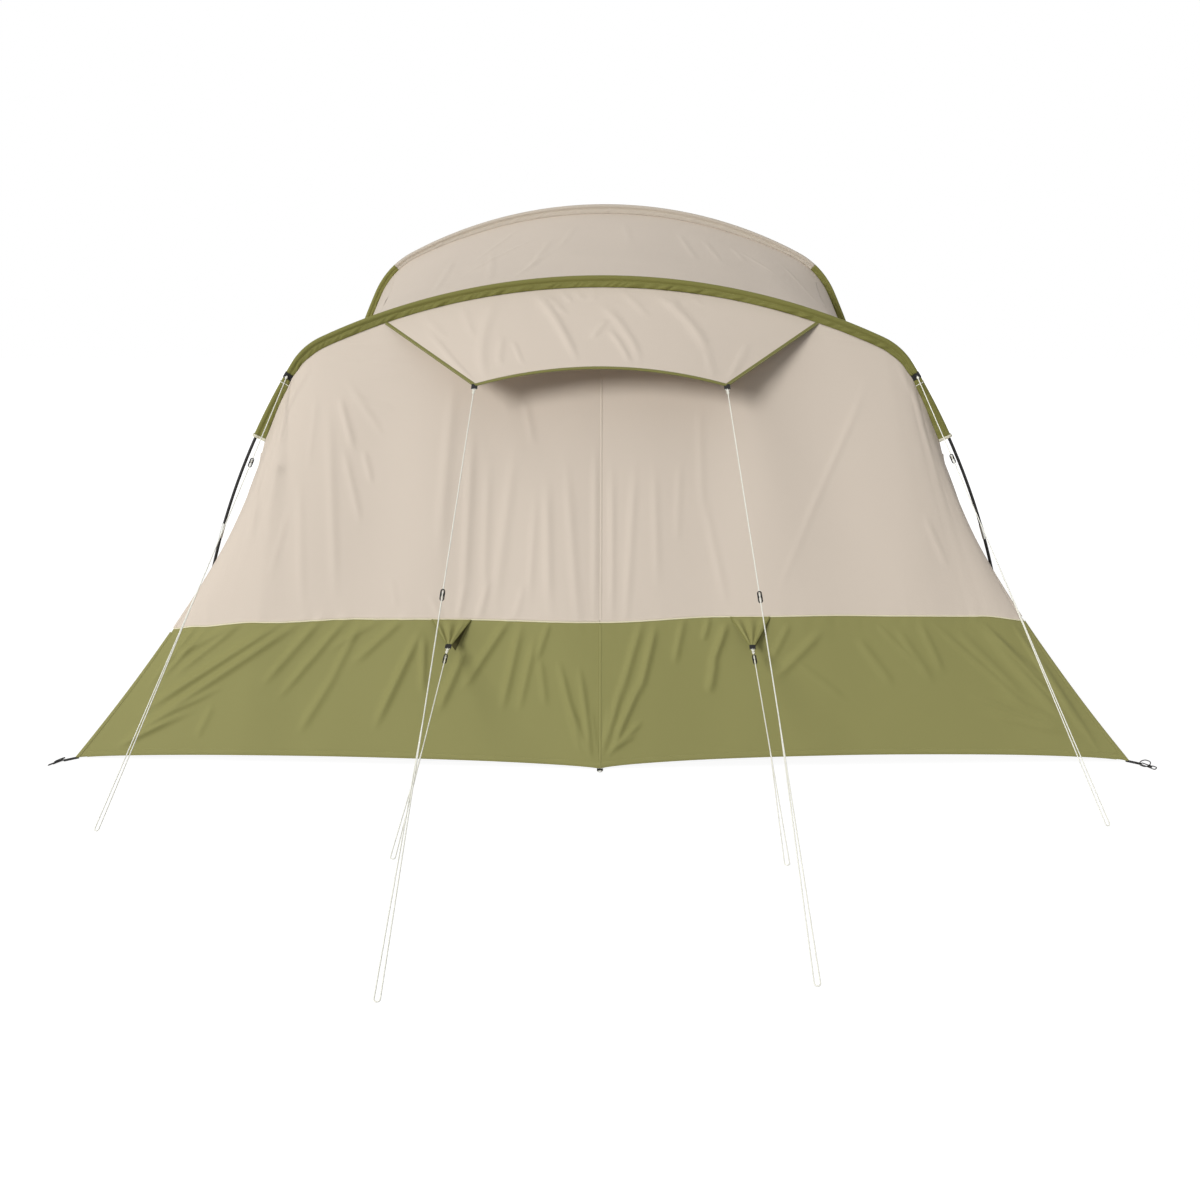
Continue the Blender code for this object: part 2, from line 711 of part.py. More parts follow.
def peg_spot(name):
    return Vector((GUYS[name].peg_x, REAR_Y - GUYS[name].peg_reach, PEG_HEIGHT))


def tab_place(name):
    """Centre and axes of a line's tab, which carries on from the cloth's corner down the line."""
    kind, side_name = name.split("_")
    if kind == "hood":
        tip = hood_hem(0.0 if side_name == "left" else 1.0)
        run = (hood_surface(0.5, 1.0) - hood_surface(0.5, 0.0)).normalized()
    else:
        surface = vent_surface(SIDES[side_name])
        tip = surface(0.5, 1.0)
        run = (tip - surface(0.5, 0.0)).normalized()
    normal = run.cross(Vector((-1, 0, 0))).normalized()
    tip += normal * math.copysign(CLOTH / 2, normal.z)
    along = (peg_spot(name) - tip).normalized()
    slant = (TAB_THICKNESS + CLOTH) / 2 * math.tan(along.angle(run))
    return frame_at(tip + along * (TAB_LENGTH / 2 + FIT_GAP + slant), along, Vector((1, 0, 0)))


# Guy lines and tensioners


def guy_start(name):
    """Upper end of a line, at its tab or at the wrap on the rear sleeve."""
    if name.startswith("side"):
        side = SIDES[name.split("_")[1]]
        cheek = hoop_point(REAR, side * along_at_height(REAR, WRAP_HEIGHT), SLEEVE_BORE / 3)[0]
        return cheek - Vector((0, SLEEVE_EDGE + FIT_GAP + CORD_RADIUS * CORD_SLANT, 0))
    return tab_place(name) @ Vector((0, 0, TAB_LENGTH / 2 + FIT_GAP))


def guy_axes(name):
    """Start of the line, its direction, its length, and the directions to its return leg and its loop."""
    start = guy_start(name)
    run = peg_spot(name) - start
    along = run.normalized()
    level = along.cross(UP).normalized()
    turn = Matrix.Rotation(math.radians(GUYS[name].roll), 3, along)
    return start, along, run.length, turn @ level, level


def guy_route(name):
    """Centre line: straight down to the loop on the ground, round it, and back up to the tensioner."""
    start, along, length, back, level = guy_axes(name)
    bend = length - CORD_LOOP_RADIUS
    at = GUYS[name].tensioner_at
    points = [start + along * mix(0.0, bend, i / 13) for i in range(14)]
    centre = start + along * bend + level * CORD_LOOP_RADIUS
    for i in range(1, 9):
        angle = math.pi * i / 8
        points.append(centre + (along * math.sin(angle) - level * math.cos(angle)) * CORD_LOOP_RADIUS)
    slide_end = start + along * (at + SLIDE_TRAVEL + TENSIONER_LENGTH) + back * LEG_SPACING
    loop_end = points[-1]
    points += [loop_end.lerp(slide_end, i / 5) for i in range(1, 6)]
    top = start + along * (at - TENSIONER_LENGTH / 3) + back * LEG_SPACING
    points += [slide_end.lerp(top, i / 4) for i in range(1, 5)]
    return points


def stadium(length, width, count=6):
    """Outline of a plate with round ends."""
    radius = width / 2
    points = []
    for sign, start in ((1, -math.pi / 2), (-1, math.pi / 2)):
        for i in range(count + 1):
            angle = start + math.pi * i / count
            points.append((sign * (length / 2 - radius) + radius * math.cos(angle), radius * math.sin(angle)))
    return points


def build_tensioner(name):
    """A plate set across the line at a slant, bored along the line for both legs of the cord."""
    start, along, _, back, _ = guy_axes(name)
    tilt = math.radians(TENSIONER_TILT)
    long_axis = along * math.cos(tilt) + back * math.sin(tilt)
    normal = back * math.cos(tilt) - along * math.sin(tilt)
    centre = start + along * GUYS[name].tensioner_at + back * LEG_SPACING / 2
    outline = stadium(TENSIONER_LENGTH, TENSIONER_WIDTH)
    plate = add(f"tensioner_{name}", outline_curve("plate", [outline], TENSIONER_THICKNESS), PLASTIC)
    rotation = Matrix((long_axis, normal.cross(long_axis), normal)).transposed().to_4x4()
    plate.matrix_world = Matrix.Translation(centre) @ rotation
    plate = as_mesh(plate)
    for leg, offset in (("standing", -0.5), ("return", 0.5)):
        place = frame_at(centre + back * LEG_SPACING * offset, along, back)
        radius = CORD_RADIUS + CORD_CLEARANCE
        bore = round_cutter(f"{leg}_bore_{name}", place, radius, 2 * TENSIONER_LENGTH)
        shaped(plate, "DIFFERENCE", bore)


# Pegging points on the ground


def ring_path(centre, length, width, direction, count=14):
    """A closed loop lying flat, with half circles at its ends, longer along its direction."""
    side = Vector((-direction.y, direction.x, 0))
    radius = width / 2
    straight = max(0.0, length / 2 - radius)
    points = []
    for i in range(count):
        angle = 2 * math.pi * (i + 0.5) / count
        stretch = math.copysign(straight, math.cos(angle))
        forward = direction * (stretch + radius * math.cos(angle))
        points.append(centre + forward + side * radius * math.sin(angle))
    return points


def build_pegging_points():
    for name, side in SIDES.items():
        corner = rear_point(side, HEM_HEIGHT)
        corner.z = LOOP_CORD_RADIUS + FIT_GAP
        out = Vector((side * CORNER_OUT[0], CORNER_OUT[1], 0)).normalized()
        start = CLOTH - FIT_GAP
        centre = corner + out * (start + CORNER_WEBBING_LENGTH / 2)
        size = (TAB_WIDTH, 2 * LOOP_CORD_RADIUS, CORNER_WEBBING_LENGTH)
        web = box(f"corner_peg_loop_{name}", WEBBING, frame_at(centre, out, out.cross(UP)), size)
        reach = start + CORNER_WEBBING_LENGTH - LOOP_CORD_RADIUS + CORNER_LOOP_LENGTH / 2
        path = ring_path(corner + out * reach, CORNER_LOOP_LENGTH, CORNER_LOOP_WIDTH, out)
        loop = rod(f"loop_{name}", WEBBING, path, LOOP_CORD_RADIUS, cyclic=True, caps=False)
        shaped(web, "UNION", as_mesh(loop))
    hem = REAR_Y - REAR_LEAN - CLOTH - FIT_GAP
    place = Matrix.Translation((0, hem - TAB_LENGTH / 2, TAB_THICKNESS / 2 + FIT_GAP))
    box("centre_peg_tab", WEBBING, place, (TAB_WIDTH, TAB_LENGTH, TAB_THICKNESS))
    centre = Vector((0, hem - TAB_LENGTH - FIT_GAP - RING_RADIUS - RING_WIRE, RING_WIRE + FIT_GAP))
    ring = ring_path(centre, 2 * RING_RADIUS, 2 * RING_RADIUS, Vector((0, 1, 0)))
    rod("centre_peg_ring", STEEL, ring, RING_WIRE, cyclic=True, caps=False)


for hoop_name, hoop_line in HOOPS.items():
    build_hoop(hoop_name, hoop_line)
build_ferrules()
build_groundsheet()
build_sleeves()
build_rear_end()
build_fly()
build_front_end()
build_hood_and_vents()
for guy in GUYS:
    rod(f"guy_line_{guy}", CORD, guy_route(guy), CORD_RADIUS)
    build_tensioner(guy)
build_pegging_points()
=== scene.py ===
"""Family tent, dressed: fly, sleeves, poles, hood, vents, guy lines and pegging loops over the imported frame.

X runs across the tent, Y along it with the rear end at -Y, Z up, in metres, as in the frame.
"""
import math
import random
from collections import namedtuple

import bmesh
import bpy
from mathutils import Matrix, Vector, noise


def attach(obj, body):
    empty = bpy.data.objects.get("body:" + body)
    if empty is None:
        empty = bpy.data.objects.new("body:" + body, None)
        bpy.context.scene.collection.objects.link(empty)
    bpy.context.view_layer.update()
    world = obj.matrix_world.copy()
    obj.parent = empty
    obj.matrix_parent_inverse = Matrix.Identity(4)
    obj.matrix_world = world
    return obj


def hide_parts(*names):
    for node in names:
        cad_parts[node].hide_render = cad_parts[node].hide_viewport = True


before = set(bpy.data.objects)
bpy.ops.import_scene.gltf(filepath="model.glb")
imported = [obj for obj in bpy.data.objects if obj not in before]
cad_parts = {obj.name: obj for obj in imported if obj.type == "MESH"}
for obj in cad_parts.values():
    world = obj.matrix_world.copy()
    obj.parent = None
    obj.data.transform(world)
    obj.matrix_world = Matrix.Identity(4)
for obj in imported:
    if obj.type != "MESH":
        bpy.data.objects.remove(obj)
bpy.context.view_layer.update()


# Studio: a pale floor that fades into a white background, one broad soft sun low behind the camera on
# the left with a weak lamp beside it, and even light from all round. The camera looks at the rear end
# from head height.
REAR_Y = -1.42805
CAMERA_PLACE = (0.04, REAR_Y - 4.7, 1.48)
CAMERA_TURN = (math.radians(78), 0.0, math.radians(0.55))
LENS, SENSOR = 38.1, 36.0
AROUND_LOW, AROUND_HIGH = 0.22, 0.67
KEY_STRENGTH, KEY_ANGLE, KEY_TURN = 1.88, 18.0, (75.5, 0.0, -31.0)
SIDE_POWER, SIDE_SIZE, SIDE_PLACE, SIDE_AIM = 16.0, 2.5, (-4.2, REAR_Y - 1.9, 1.6), (0.0, REAR_Y - 0.4, 0.6)
FLOOR_DROP, FLOOR_RADIUS, FLOOR_BOUNCE, FLOOR_SHOWN = 0.001, 60.0, 0.31, 0.95
FLOOR_NEAR, FLOOR_FAR, FLOOR_GLOW, GLOW_STRENGTH = 2.5, 6.5, 0.75, 1.2


def srgb(red, green, blue):
    """Linear colour from an 8-bit sRGB colour."""
    return tuple(((c / 255 + 0.055) / 1.055) ** 2.4 for c in (red, green, blue)) + (1.0,)


def add_node(tree, kind, inputs=(), family="ShaderNode", **settings):
    """A node, with its inputs set to values or joined to outputs."""
    made = tree.nodes.new(family + kind)
    for key, value in settings.items():
        setattr(made, key, value)
    for key, value in dict(inputs).items():
        if isinstance(value, bpy.types.NodeSocket):
            tree.links.new(value, made.inputs[key])
        else:
            made.inputs[key].default_value = value
    return made


def seen_directly(tree):
    """1 where the camera, a reflection or glass looks, 0 for light that falls on things."""
    rays = add_node(tree, "LightPath").outputs
    gloss = add_node(tree, "Math", {0: rays["Is Glossy Ray"], 1: rays["Is Transmission Ray"]},
                     operation="MAXIMUM")
    return add_node(tree, "Math", {0: rays["Is Camera Ray"], 1: gloss.outputs[0]},
                    operation="MAXIMUM").outputs[0]


def place_object(name, data):
    made = bpy.data.objects.new(name, data)
    bpy.context.scene.collection.objects.link(made)
    return made


camera = place_object("camera", bpy.data.cameras.new("camera"))
camera.location, camera.rotation_euler = CAMERA_PLACE, CAMERA_TURN
camera.data.lens, camera.data.sensor_width = LENS, SENSOR
bpy.context.scene.camera = camera
bpy.context.scene.view_settings.view_transform = "Standard"

world = bpy.context.scene.world or bpy.data.worlds.new("studio")
bpy.context.scene.world = world
world.use_nodes = True
sky = world.node_tree
sky.nodes.clear()
upward = add_node(sky, "SeparateXYZ", {0: add_node(sky, "TexCoord").outputs["Generated"]})
level = add_node(sky, "MapRange", {"Value": upward.outputs["Z"], "From Min": 0.0, "From Max": 1.0,
                                   "To Min": AROUND_LOW, "To Max": AROUND_HIGH})
around = add_node(sky, "Background", {"Strength": level.outputs[0]})
around.inputs["Color"].default_value = (1.0, 1.0, 1.0, 1.0)
white = add_node(sky, "Background", {"Color": (1.0, 1.0, 1.0, 1.0), "Strength": 1.0})
shown = add_node(sky, "MixShader", {0: seen_directly(sky), 1: around.outputs[0], 2: white.outputs[0]})
add_node(sky, "OutputWorld", {"Surface": shown.outputs[0]})

key = place_object("key_lamp", bpy.data.lights.new("key_lamp", "SUN"))
key.data.energy, key.data.angle = KEY_STRENGTH, math.radians(KEY_ANGLE)
key.rotation_euler = [math.radians(turn) for turn in KEY_TURN]
side_lamp = place_object("side_lamp", bpy.data.lights.new("side_lamp", "AREA"))
side_lamp.data.energy, side_lamp.data.size = SIDE_POWER, SIDE_SIZE
side_lamp.location = SIDE_PLACE
side_lamp.rotation_euler = (Vector(SIDE_AIM) - Vector(SIDE_PLACE)).to_track_quat("-Z", "Y").to_euler()

floor_mesh = bpy.data.meshes.new("floor")
corners = [(x * FLOOR_RADIUS, y * FLOOR_RADIUS, -FLOOR_DROP) for x, y in ((-1, -1), (1, -1), (1, 1), (-1, 1))]
floor_mesh.from_pydata(corners, [], [(0, 1, 2, 3)])
floor = place_object("floor", floor_mesh)
floor_look = bpy.data.materials.new("pale_floor")
floor_look.use_nodes = True
tree = floor_look.node_tree
tree.nodes.clear()
tone = add_node(tree, "MapRange", {"Value": seen_directly(tree), "To Min": FLOOR_BOUNCE,
                                   "To Max": FLOOR_SHOWN})
matt = add_node(tree, "BsdfDiffuse", {"Color": tone.outputs[0]})
glow = add_node(tree, "Emission", {"Color": (1.0, 1.0, 1.0, 1.0), "Strength": GLOW_STRENGTH})
reach = add_node(tree, "VectorMath", {0: add_node(tree, "TexCoord").outputs["Object"]}, operation="LENGTH")
fade = add_node(tree, "MapRange", {"Value": reach.outputs["Value"], "From Min": FLOOR_NEAR,
                                   "From Max": FLOOR_FAR, "To Min": FLOOR_GLOW, "To Max": 1.0})
share = add_node(tree, "Math", {0: fade.outputs[0], 1: seen_directly(tree)}, operation="MULTIPLY")
mixed = add_node(tree, "MixShader", {0: share.outputs[0], 1: matt.outputs[0], 2: glow.outputs[0]})
add_node(tree, "OutputMaterial", {"Surface": mixed.outputs[0]})
floor_mesh.materials.append(floor_look)


# Guy lines: six braided cream cords, 3.5 mm thick, tied to a tab or to the wrap on the rear sleeve. Each
# runs straight down to a loop for the peg, comes back up through its tensioner and ends in a stopper knot.
Guy = namedtuple("Guy", "start peg tensioner_at roll")
GUYS = {
    "hood_left": Guy((-0.42842, -1.77298, 1.28731), (-0.480, -3.52805, 0.0026), 0.940, 78.0),
    "hood_right": Guy((0.42879, -1.77273, 1.28701), (0.523, -3.44805, 0.0026), 0.928, 103.0),
    "side_left": Guy((-1.14601, -1.44015, 1.31635), (-1.508, -2.54305, 0.0026), 0.386, 51.0),
    "side_right": Guy((1.14601, -1.44015, 1.31635), (1.561, -2.46805, 0.0026), 0.361, 132.0),
    "vent_left": Guy((-0.52502, -1.88499, 0.40897), (-0.578, -2.74105, 0.0026), 0.055, 73.0),
    "vent_right": Guy((0.52437, -1.88514, 0.40917), (0.544, -2.77205, 0.0026), 0.055, 102.0),
}
CORD_RADIUS, CORD_SIDES, PEG_LOOP_RADIUS = 0.00175, 10, 0.0072
LEG_SPACING, SLIDE_TRAVEL, TENSIONER_LENGTH = 0.0085, 0.40, 0.036
CORD_STEP, LOOP_STEPS = 0.007, 8
BRAID_PITCH, BRAID_STRANDS, BRAID_DEPTH = 0.009, 4.0, 0.00015
KNOT_RADIUS, KNOT_CORD_RADIUS, KNOT_POINTS = 0.0026, 0.0016, 42
UP = Vector((0, 0, 1))


def mix(start, end, share):
    return start + (end - start) * share


def new_material(name, colour, roughness, metallic=0.0):
    """A Principled material with its colour, its node tree and its shader node."""
    made = bpy.data.materials.new(name)
    made.use_nodes = True
    shader = made.node_tree.nodes["Principled BSDF"]
    shader.inputs["Base Color"].default_value = colour
    shader.inputs["Roughness"].default_value = roughness
    shader.inputs["Metallic"].default_value = metallic
    return made, made.node_tree, shader


def math_node(tree, operation, first, second=0.0):
    return add_node(tree, "Math", {0: first, 1: second}, operation=operation).outputs[0]


def uv_axes(tree):
    """The two directions of a piece's own UV map, in metres."""
    split = add_node(tree, "SeparateXYZ", {0: add_node(tree, "TexCoord").outputs["UV"]})
    return split.outputs["X"], split.outputs["Y"]


def uneven(tree, shader, colour, spread, scale, stretch=(1.0, 1.0, 1.0)):
    """Lets a colour drift a little lighter and darker over a piece."""
    place = add_node(tree, "Mapping", {"Vector": add_node(tree, "TexCoord").outputs["Object"],
                                       "Scale": stretch})
    cloud = add_node(tree, "TexNoise", {"Vector": place.outputs[0], "Scale": scale, "Detail": 3.0})
    low, high = [(*(min(1.0, c * (1 + sign * spread)) for c in colour[:3]), 1.0) for sign in (-1, 1)]
    blend = add_node(tree, "Mix", {0: cloud.outputs["Fac"], 6: low, 7: high}, data_type="RGBA")
    tree.links.new(blend.outputs[2], shader.inputs["Base Color"])


def bump(tree, shader, height, distance, after=None):
    inputs = {"Height": height, "Distance": distance, "Strength": 1.0}
    if after is not None:
        inputs["Normal"] = after
    made = add_node(tree, "Bump", inputs)
    tree.links.new(made.outputs[0], shader.inputs["Normal"])
    return made.outputs[0]


def crossed_waves(tree, first, second):
    """Height of two crossing sets of ridges, as in a braid or a plain weave."""
    return math_node(tree, "MULTIPLY", math_node(tree, "SINE", first), math_node(tree, "SINE", second))


def braid(tree, radius):
    """Height of the strands that cross round a braided cord."""
    across, along = uv_axes(tree)
    turns = math_node(tree, "MULTIPLY", across, BRAID_STRANDS / radius)
    climb = math_node(tree, "MULTIPLY", along, math.tau / BRAID_PITCH * BRAID_STRANDS / 2)
    return crossed_waves(tree, math_node(tree, "ADD", turns, climb),
                         math_node(tree, "SUBTRACT", turns, climb))


CREAM = srgb(255, 253, 240)
cord_look, tree, shader = new_material("braided_cream_cord", CREAM, 0.75)
uneven(tree, shader, CREAM, 0.05, 60.0)
bump(tree, shader, braid(tree, CORD_RADIUS), BRAID_DEPTH)


def circle(radius, sides):
    """Outline of a round bar, anticlockwise."""
    turns = [math.tau * i / sides for i in range(sides)]
    return [(radius * math.cos(a), radius * math.sin(a)) for a in turns]


def swept(name, path, profile, ups=None, sizes=None, cyclic=False):
    """A closed mesh made by carrying an outline along a path, with a UV map in metres.

    The outline is (across, up) points, anticlockwise; up follows ups where they are given."""
    count, around = len(path), len(profile)
    points, run, girth = [], [0.0], [0.0]
    up = None
    for i, place in enumerate(path):
        before = path[i - 1] if i or cyclic else place
        after = path[(i + 1) % count] if i + 1 < count or cyclic else place
        tangent = (after - before).normalized()
        up = ups[i] if ups else up or tangent.orthogonal()
        across = tangent.cross(up).normalized()
        up = across.cross(tangent)
        size = sizes[i] if sizes else 1.0
        points += [place + (across * a + up * b) * size for a, b in profile]
        run.append(run[-1] + (path[(i + 1) % count] - place).length)
    for j in range(around):
        (a, b), (c, d) = profile[j], profile[(j + 1) % around]
        girth.append(girth[-1] + math.hypot(c - a, d - b))
    faces, uvs = [], []
    for i in range(count if cyclic else count - 1):
        for j in range(around):
            k, far = (j + 1) % around, (i + 1) % count * around
            faces.append((i * around + j, far + j, far + k, i * around + k))
            uvs += [girth[j], run[i], girth[j], run[i + 1], girth[j + 1], run[i + 1], girth[j + 1], run[i]]
    if not cyclic:
        for ring, order in ((0, range(around)), (count - 1, reversed(range(around)))):
            faces.append([ring * around + j for j in order])
            uvs += [girth[-1] / 2, run[ring]] * around
    mesh = bpy.data.meshes.new(name)
    mesh.from_pydata(points, [], faces)
    mesh.uv_layers.new(name="metres").data.foreach_set("uv", uvs)
    mesh.shade_smooth()
    mesh.set_sharp_from_angle(angle=math.radians(50))
    return mesh


def dress(name, mesh, look, slot, body="tent", nodes=()):
    """A finished piece: its mesh, material, the body it rides and the nodes it stands for; slot is not used.
    """
    made = place_object(name, mesh)
    mesh.materials.clear()
    mesh.materials.append(look)
    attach(made, body)
    if nodes:
        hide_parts(*nodes)
    return made


def guy_axes(guy):
    """Start, direction and length of a line, the way to its return leg, and the way its loop turns."""
    start = Vector(guy.start)
    run = Vector(guy.peg) - start
    along = run.normalized()
    level = along.cross(UP).normalized()
    return start, along, run.length, Matrix.Rotation(math.radians(guy.roll), 3, along) @ level, level


def straight_run(start, end):
    """Evenly spaced points of a straight stretch of cord."""
    count = max(2, round((end - start).length / CORD_STEP))
    return [start.lerp(end, i / count) for i in range(count + 1)]


def guy_route(guy):
    """Down to the ground, round the peg loop, and back up through the tensioner."""
    start, along, length, back, level = guy_axes(guy)
    bend = length - PEG_LOOP_RADIUS
    points = straight_run(start, start + along * bend)
    centre = start + along * bend + level * PEG_LOOP_RADIUS
    for i in range(1, LOOP_STEPS + 1):
        angle = math.pi * i / LOOP_STEPS
        points.append(centre + (along * math.sin(angle) - level * math.cos(angle)) * PEG_LOOP_RADIUS)
    slide_end = start + along * (guy.tensioner_at + SLIDE_TRAVEL + TENSIONER_LENGTH) + back * LEG_SPACING
    points += straight_run(points[-1], slide_end)[1:]
    top = start + along * (guy.tensioner_at - TENSIONER_LENGTH / 3) + back * LEG_SPACING
    return points + straight_run(slide_end, top)[1:]


def path_length(path):
    return sum((b - a).length for a, b in zip(path, path[1:]))


def knot(name, centre, along):
    """A trefoil of cord tied round a line."""
    side = along.orthogonal().normalized()
    other = along.cross(side)
    path = []
    for i in range(KNOT_POINTS):
        t = math.tau * i / KNOT_POINTS
        x = (math.sin(t) + 2 * math.sin(2 * t)) / 2
        y = (math.cos(t) - 2 * math.cos(2 * t)) / 2
        path.append(centre + (side * x + other * y - along * math.sin(3 * t)) * KNOT_RADIUS)
    return dress(name, swept(name, path, circle(KNOT_CORD_RADIUS, 8), cyclic=True), cord_look, "cream_cord")


cord_meshes = {}
for name, guy in GUYS.items():
    route = guy_route(guy)
    cord_meshes[name] = swept(f"braid_{name}", route, circle(CORD_RADIUS, CORD_SIDES))


# Tensioners: a flat black plate with rounded ends and two slots, one for each leg of its line. It lies
# across the line at a slant, so that it grips where it is slid to.
MERGE = 0.00002
PLATE_WIDTH, PLATE_THICKNESS, PLATE_TILT, PLATE_ROUNDING = 0.0145, 0.003, 30.0, 0.0007
SLOT_LENGTH, SLOT_WIDTH = 0.0138, 0.0062
BLACK_PLASTIC, DULL_GLOSS, MOULD_GRAIN, MOULD_DEPTH = srgb(24, 21, 19), 0.3, 900.0, 0.00008
plastic_look, tree, shader = new_material("moulded_black_plastic", BLACK_PLASTIC, 0.5)
shader.inputs["Specular IOR Level"].default_value = DULL_GLOSS
uneven(tree, shader, BLACK_PLASTIC, 0.15, 90.0)
pebbled = add_node(tree, "TexNoise", {"Scale": MOULD_GRAIN, "Detail": 2.0})
bump(tree, shader, pebbled.outputs["Fac"], MOULD_DEPTH)


def stadium(length, width, centre=0.0, count=10):
    """Outline of a bar with round ends, along X."""
    radius = width / 2
    points = []
    for sign, start in ((1, -math.pi / 2), (-1, math.pi / 2)):
        for i in range(count + 1):
            angle = start + math.pi * i / count
            place = centre + sign * (length / 2 - radius) + radius * math.cos(angle)
            points.append((place, radius * math.sin(angle)))
    return points


def plate_mesh(name, outlines, thickness, rounding):
    """A flat plate in its own XY plane with softened edges: its outer outline, then its holes."""
    curve = bpy.data.curves.new(name, "CURVE")
    curve.dimensions, curve.fill_mode = "2D", "BOTH"
    curve.extrude, curve.bevel_depth, curve.bevel_resolution = thickness / 2 - rounding, rounding, 2
    curve.offset = -rounding
    for outline in outlines:
        spline = curve.splines.new("POLY")
        spline.points.add(len(outline) - 1)
        spline.use_cyclic_u = True
        for point, (x, y) in zip(spline.points, outline):
            point.co = (x, y, 0.0, 1.0)
    holder = place_object(name, curve)
    mesh = flattened(holder)
    bpy.data.objects.remove(holder)
    return mesh


def flattened(made):
    """The evaluated shape of an object as a plain mesh with its doubled points merged."""
    bpy.context.view_layer.update()
    mesh = bpy.data.meshes.new_from_object(made.evaluated_get(bpy.context.evaluated_depsgraph_get()))
    grid = bmesh.new()
    grid.from_mesh(mesh)
    bmesh.ops.remove_doubles(grid, verts=grid.verts, dist=MERGE)
    bmesh.ops.recalc_face_normals(grid, faces=grid.faces)
    grid.to_mesh(mesh)
    grid.free()
    mesh.shade_smooth()
    mesh.set_sharp_from_angle(angle=math.radians(40))
    return mesh


for name, guy in GUYS.items():
    start, along, length, back, _ = guy_axes(guy)
    tilt = math.radians(PLATE_TILT)
    long_axis = along * math.cos(tilt) + back * math.sin(tilt)
    normal = back * math.cos(tilt) - along * math.sin(tilt)
    centre = start + along * guy.tensioner_at + back * LEG_SPACING / 2
    slot_middle = LEG_SPACING / 2 / math.sin(tilt)
    outlines = [stadium(TENSIONER_LENGTH, PLATE_WIDTH)]
    outlines += [stadium(SLOT_LENGTH, SLOT_WIDTH, sign * slot_middle) for sign in (-1, 1)]
    mesh = plate_mesh(f"plate_{name}", outlines, PLATE_THICKNESS, PLATE_ROUNDING)
    turn = Matrix((long_axis, normal.cross(long_axis), normal)).transposed().to_4x4()
    mesh.transform(Matrix.Translation(centre) @ turn)
    node = f"tensioner_{name}"
    plate = dress(f"plate_{name}", mesh, plastic_look, "black_plastic", node, [node])
    route = guy_route(guy)
    end_knot = knot(f"end_knot_{name}", route[-1] + along * KNOT_RADIUS, along)
    cord = dress(f"braid_{name}", cord_meshes[name], cord_look, "cream_cord", nodes=[f"guy_line_{name}"])
    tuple(start)
    path_length(route)


# Poles: each hoop is a roof pole and two legs of black fibreglass, pushed into bent steel elbows at the
# shoulders. Steel ferrules show on the bare rear legs, and the tips stand in eyelets of the groundsheet.
Hoop = namedtuple("Hoop", "y apex roof_radius roof_turn elbow_radius elbow_turn leg_radius")
MIDDLE_Y, FRONT_Y = 0.37195, 1.99195
HOOPS = {
    "rear": Hoop(REAR_Y, 1.663, 2.5, 24.0, 0.25, 32.5, 2.6),
    "middle": Hoop(MIDDLE_Y, 2.075, 2.1, 27.0, 0.4, 37.5, 3.8),
    "front": Hoop(FRONT_Y, 2.0, 2.1, 27.0, 0.4, 37.5, 3.8),
}
REAR, MIDDLE, FRONT = HOOPS.values()
SIDES = {"left": -1, "right": 1}
POLE_RADIUS, POLE_SIDES, ELBOW_OUTER, FERRULE_OUTER = 0.0055, 20, 0.0074, 0.0069
ELBOW_GRIP, FERRULE_HEIGHT, FERRULE_LENGTH = 0.045, 0.745, 0.056
FOOT_HEIGHT, TIP_RADIUS, TIP_LENGTH, FIT_GAP = 0.0024, 0.0024, 0.0015, 0.0003
POLE_STEP = 0.03
FIBREGLASS, STRANDS, STRAND_DEPTH = srgb(27, 26, 25), (900.0, 12.0, 1.0), 0.00005
STEEL, BRUSHING, BRUSHING_DEPTH = srgb(190, 190, 186), (60.0, 1500.0, 1.0), 0.00003


def streaks(tree, scale):
    """Height of fine streaks on a piece's own UV map."""
    place = add_node(tree, "Mapping", {"Vector": add_node(tree, "TexCoord").outputs["UV"], "Scale": scale})
    return add_node(tree, "TexNoise", {"Vector": place.outputs[0], "Scale": 1.0}).outputs["Fac"]


pole_look, tree, shader = new_material("black_fibreglass", FIBREGLASS, 0.45)
shader.inputs["Specular IOR Level"].default_value = DULL_GLOSS
uneven(tree, shader, FIBREGLASS, 0.2, 12.0, (6.0, 6.0, 0.6))
bump(tree, shader, streaks(tree, STRANDS), STRAND_DEPTH)
steel_look, tree, shader = new_material("zinc_plated_steel", STEEL, 0.28, 1.0)
uneven(tree, shader, STEEL, 0.08, 25.0)
bump(tree, shader, streaks(tree, BRUSHING), BRUSHING_DEPTH)


def arcs(hoop):
    """Radius and length of the roof arc, the elbow and the leg of one side."""
    roof = hoop.roof_radius * math.radians(hoop.roof_turn)
    elbow = hoop.elbow_radius * math.radians(hoop.elbow_turn)
    return (hoop.roof_radius, roof), (hoop.elbow_radius, elbow), (hoop.leg_radius, math.inf)


def hoop_point(hoop, along, drop=0.0):
    """Point at a length along the pole from the apex, moved in by drop, and the outward direction."""
    side = 1 if along >= 0 else -1
    left = abs(along)
    x, z, heading = 0.0, hoop.apex, 0.0
    for radius, length in arcs(hoop):
        turned = heading + min(left, length) / radius
        x += radius * (math.sin(turned) - math.sin(heading))
        z -= radius * (math.cos(heading) - math.cos(turned))
        heading = turned
        left -= length
        if left <= 0:
            break
    outward = Vector((side * math.sin(heading), 0, math.cos(heading)))
    return Vector((side * x, hoop.y, z)) - drop * outward, outward


def halved(test, low, high):
    """The share or length between low and high up to which a test holds."""
    for _ in range(45):
        middle = (low + high) / 2
        low, high = (middle, high) if test(middle) else (low, middle)
    return low


def along_at_height(hoop, height, drop=0.0):
    return halved(lambda s: hoop_point(hoop, s, drop)[0].z > height, 0.0, 2 * hoop.apex)


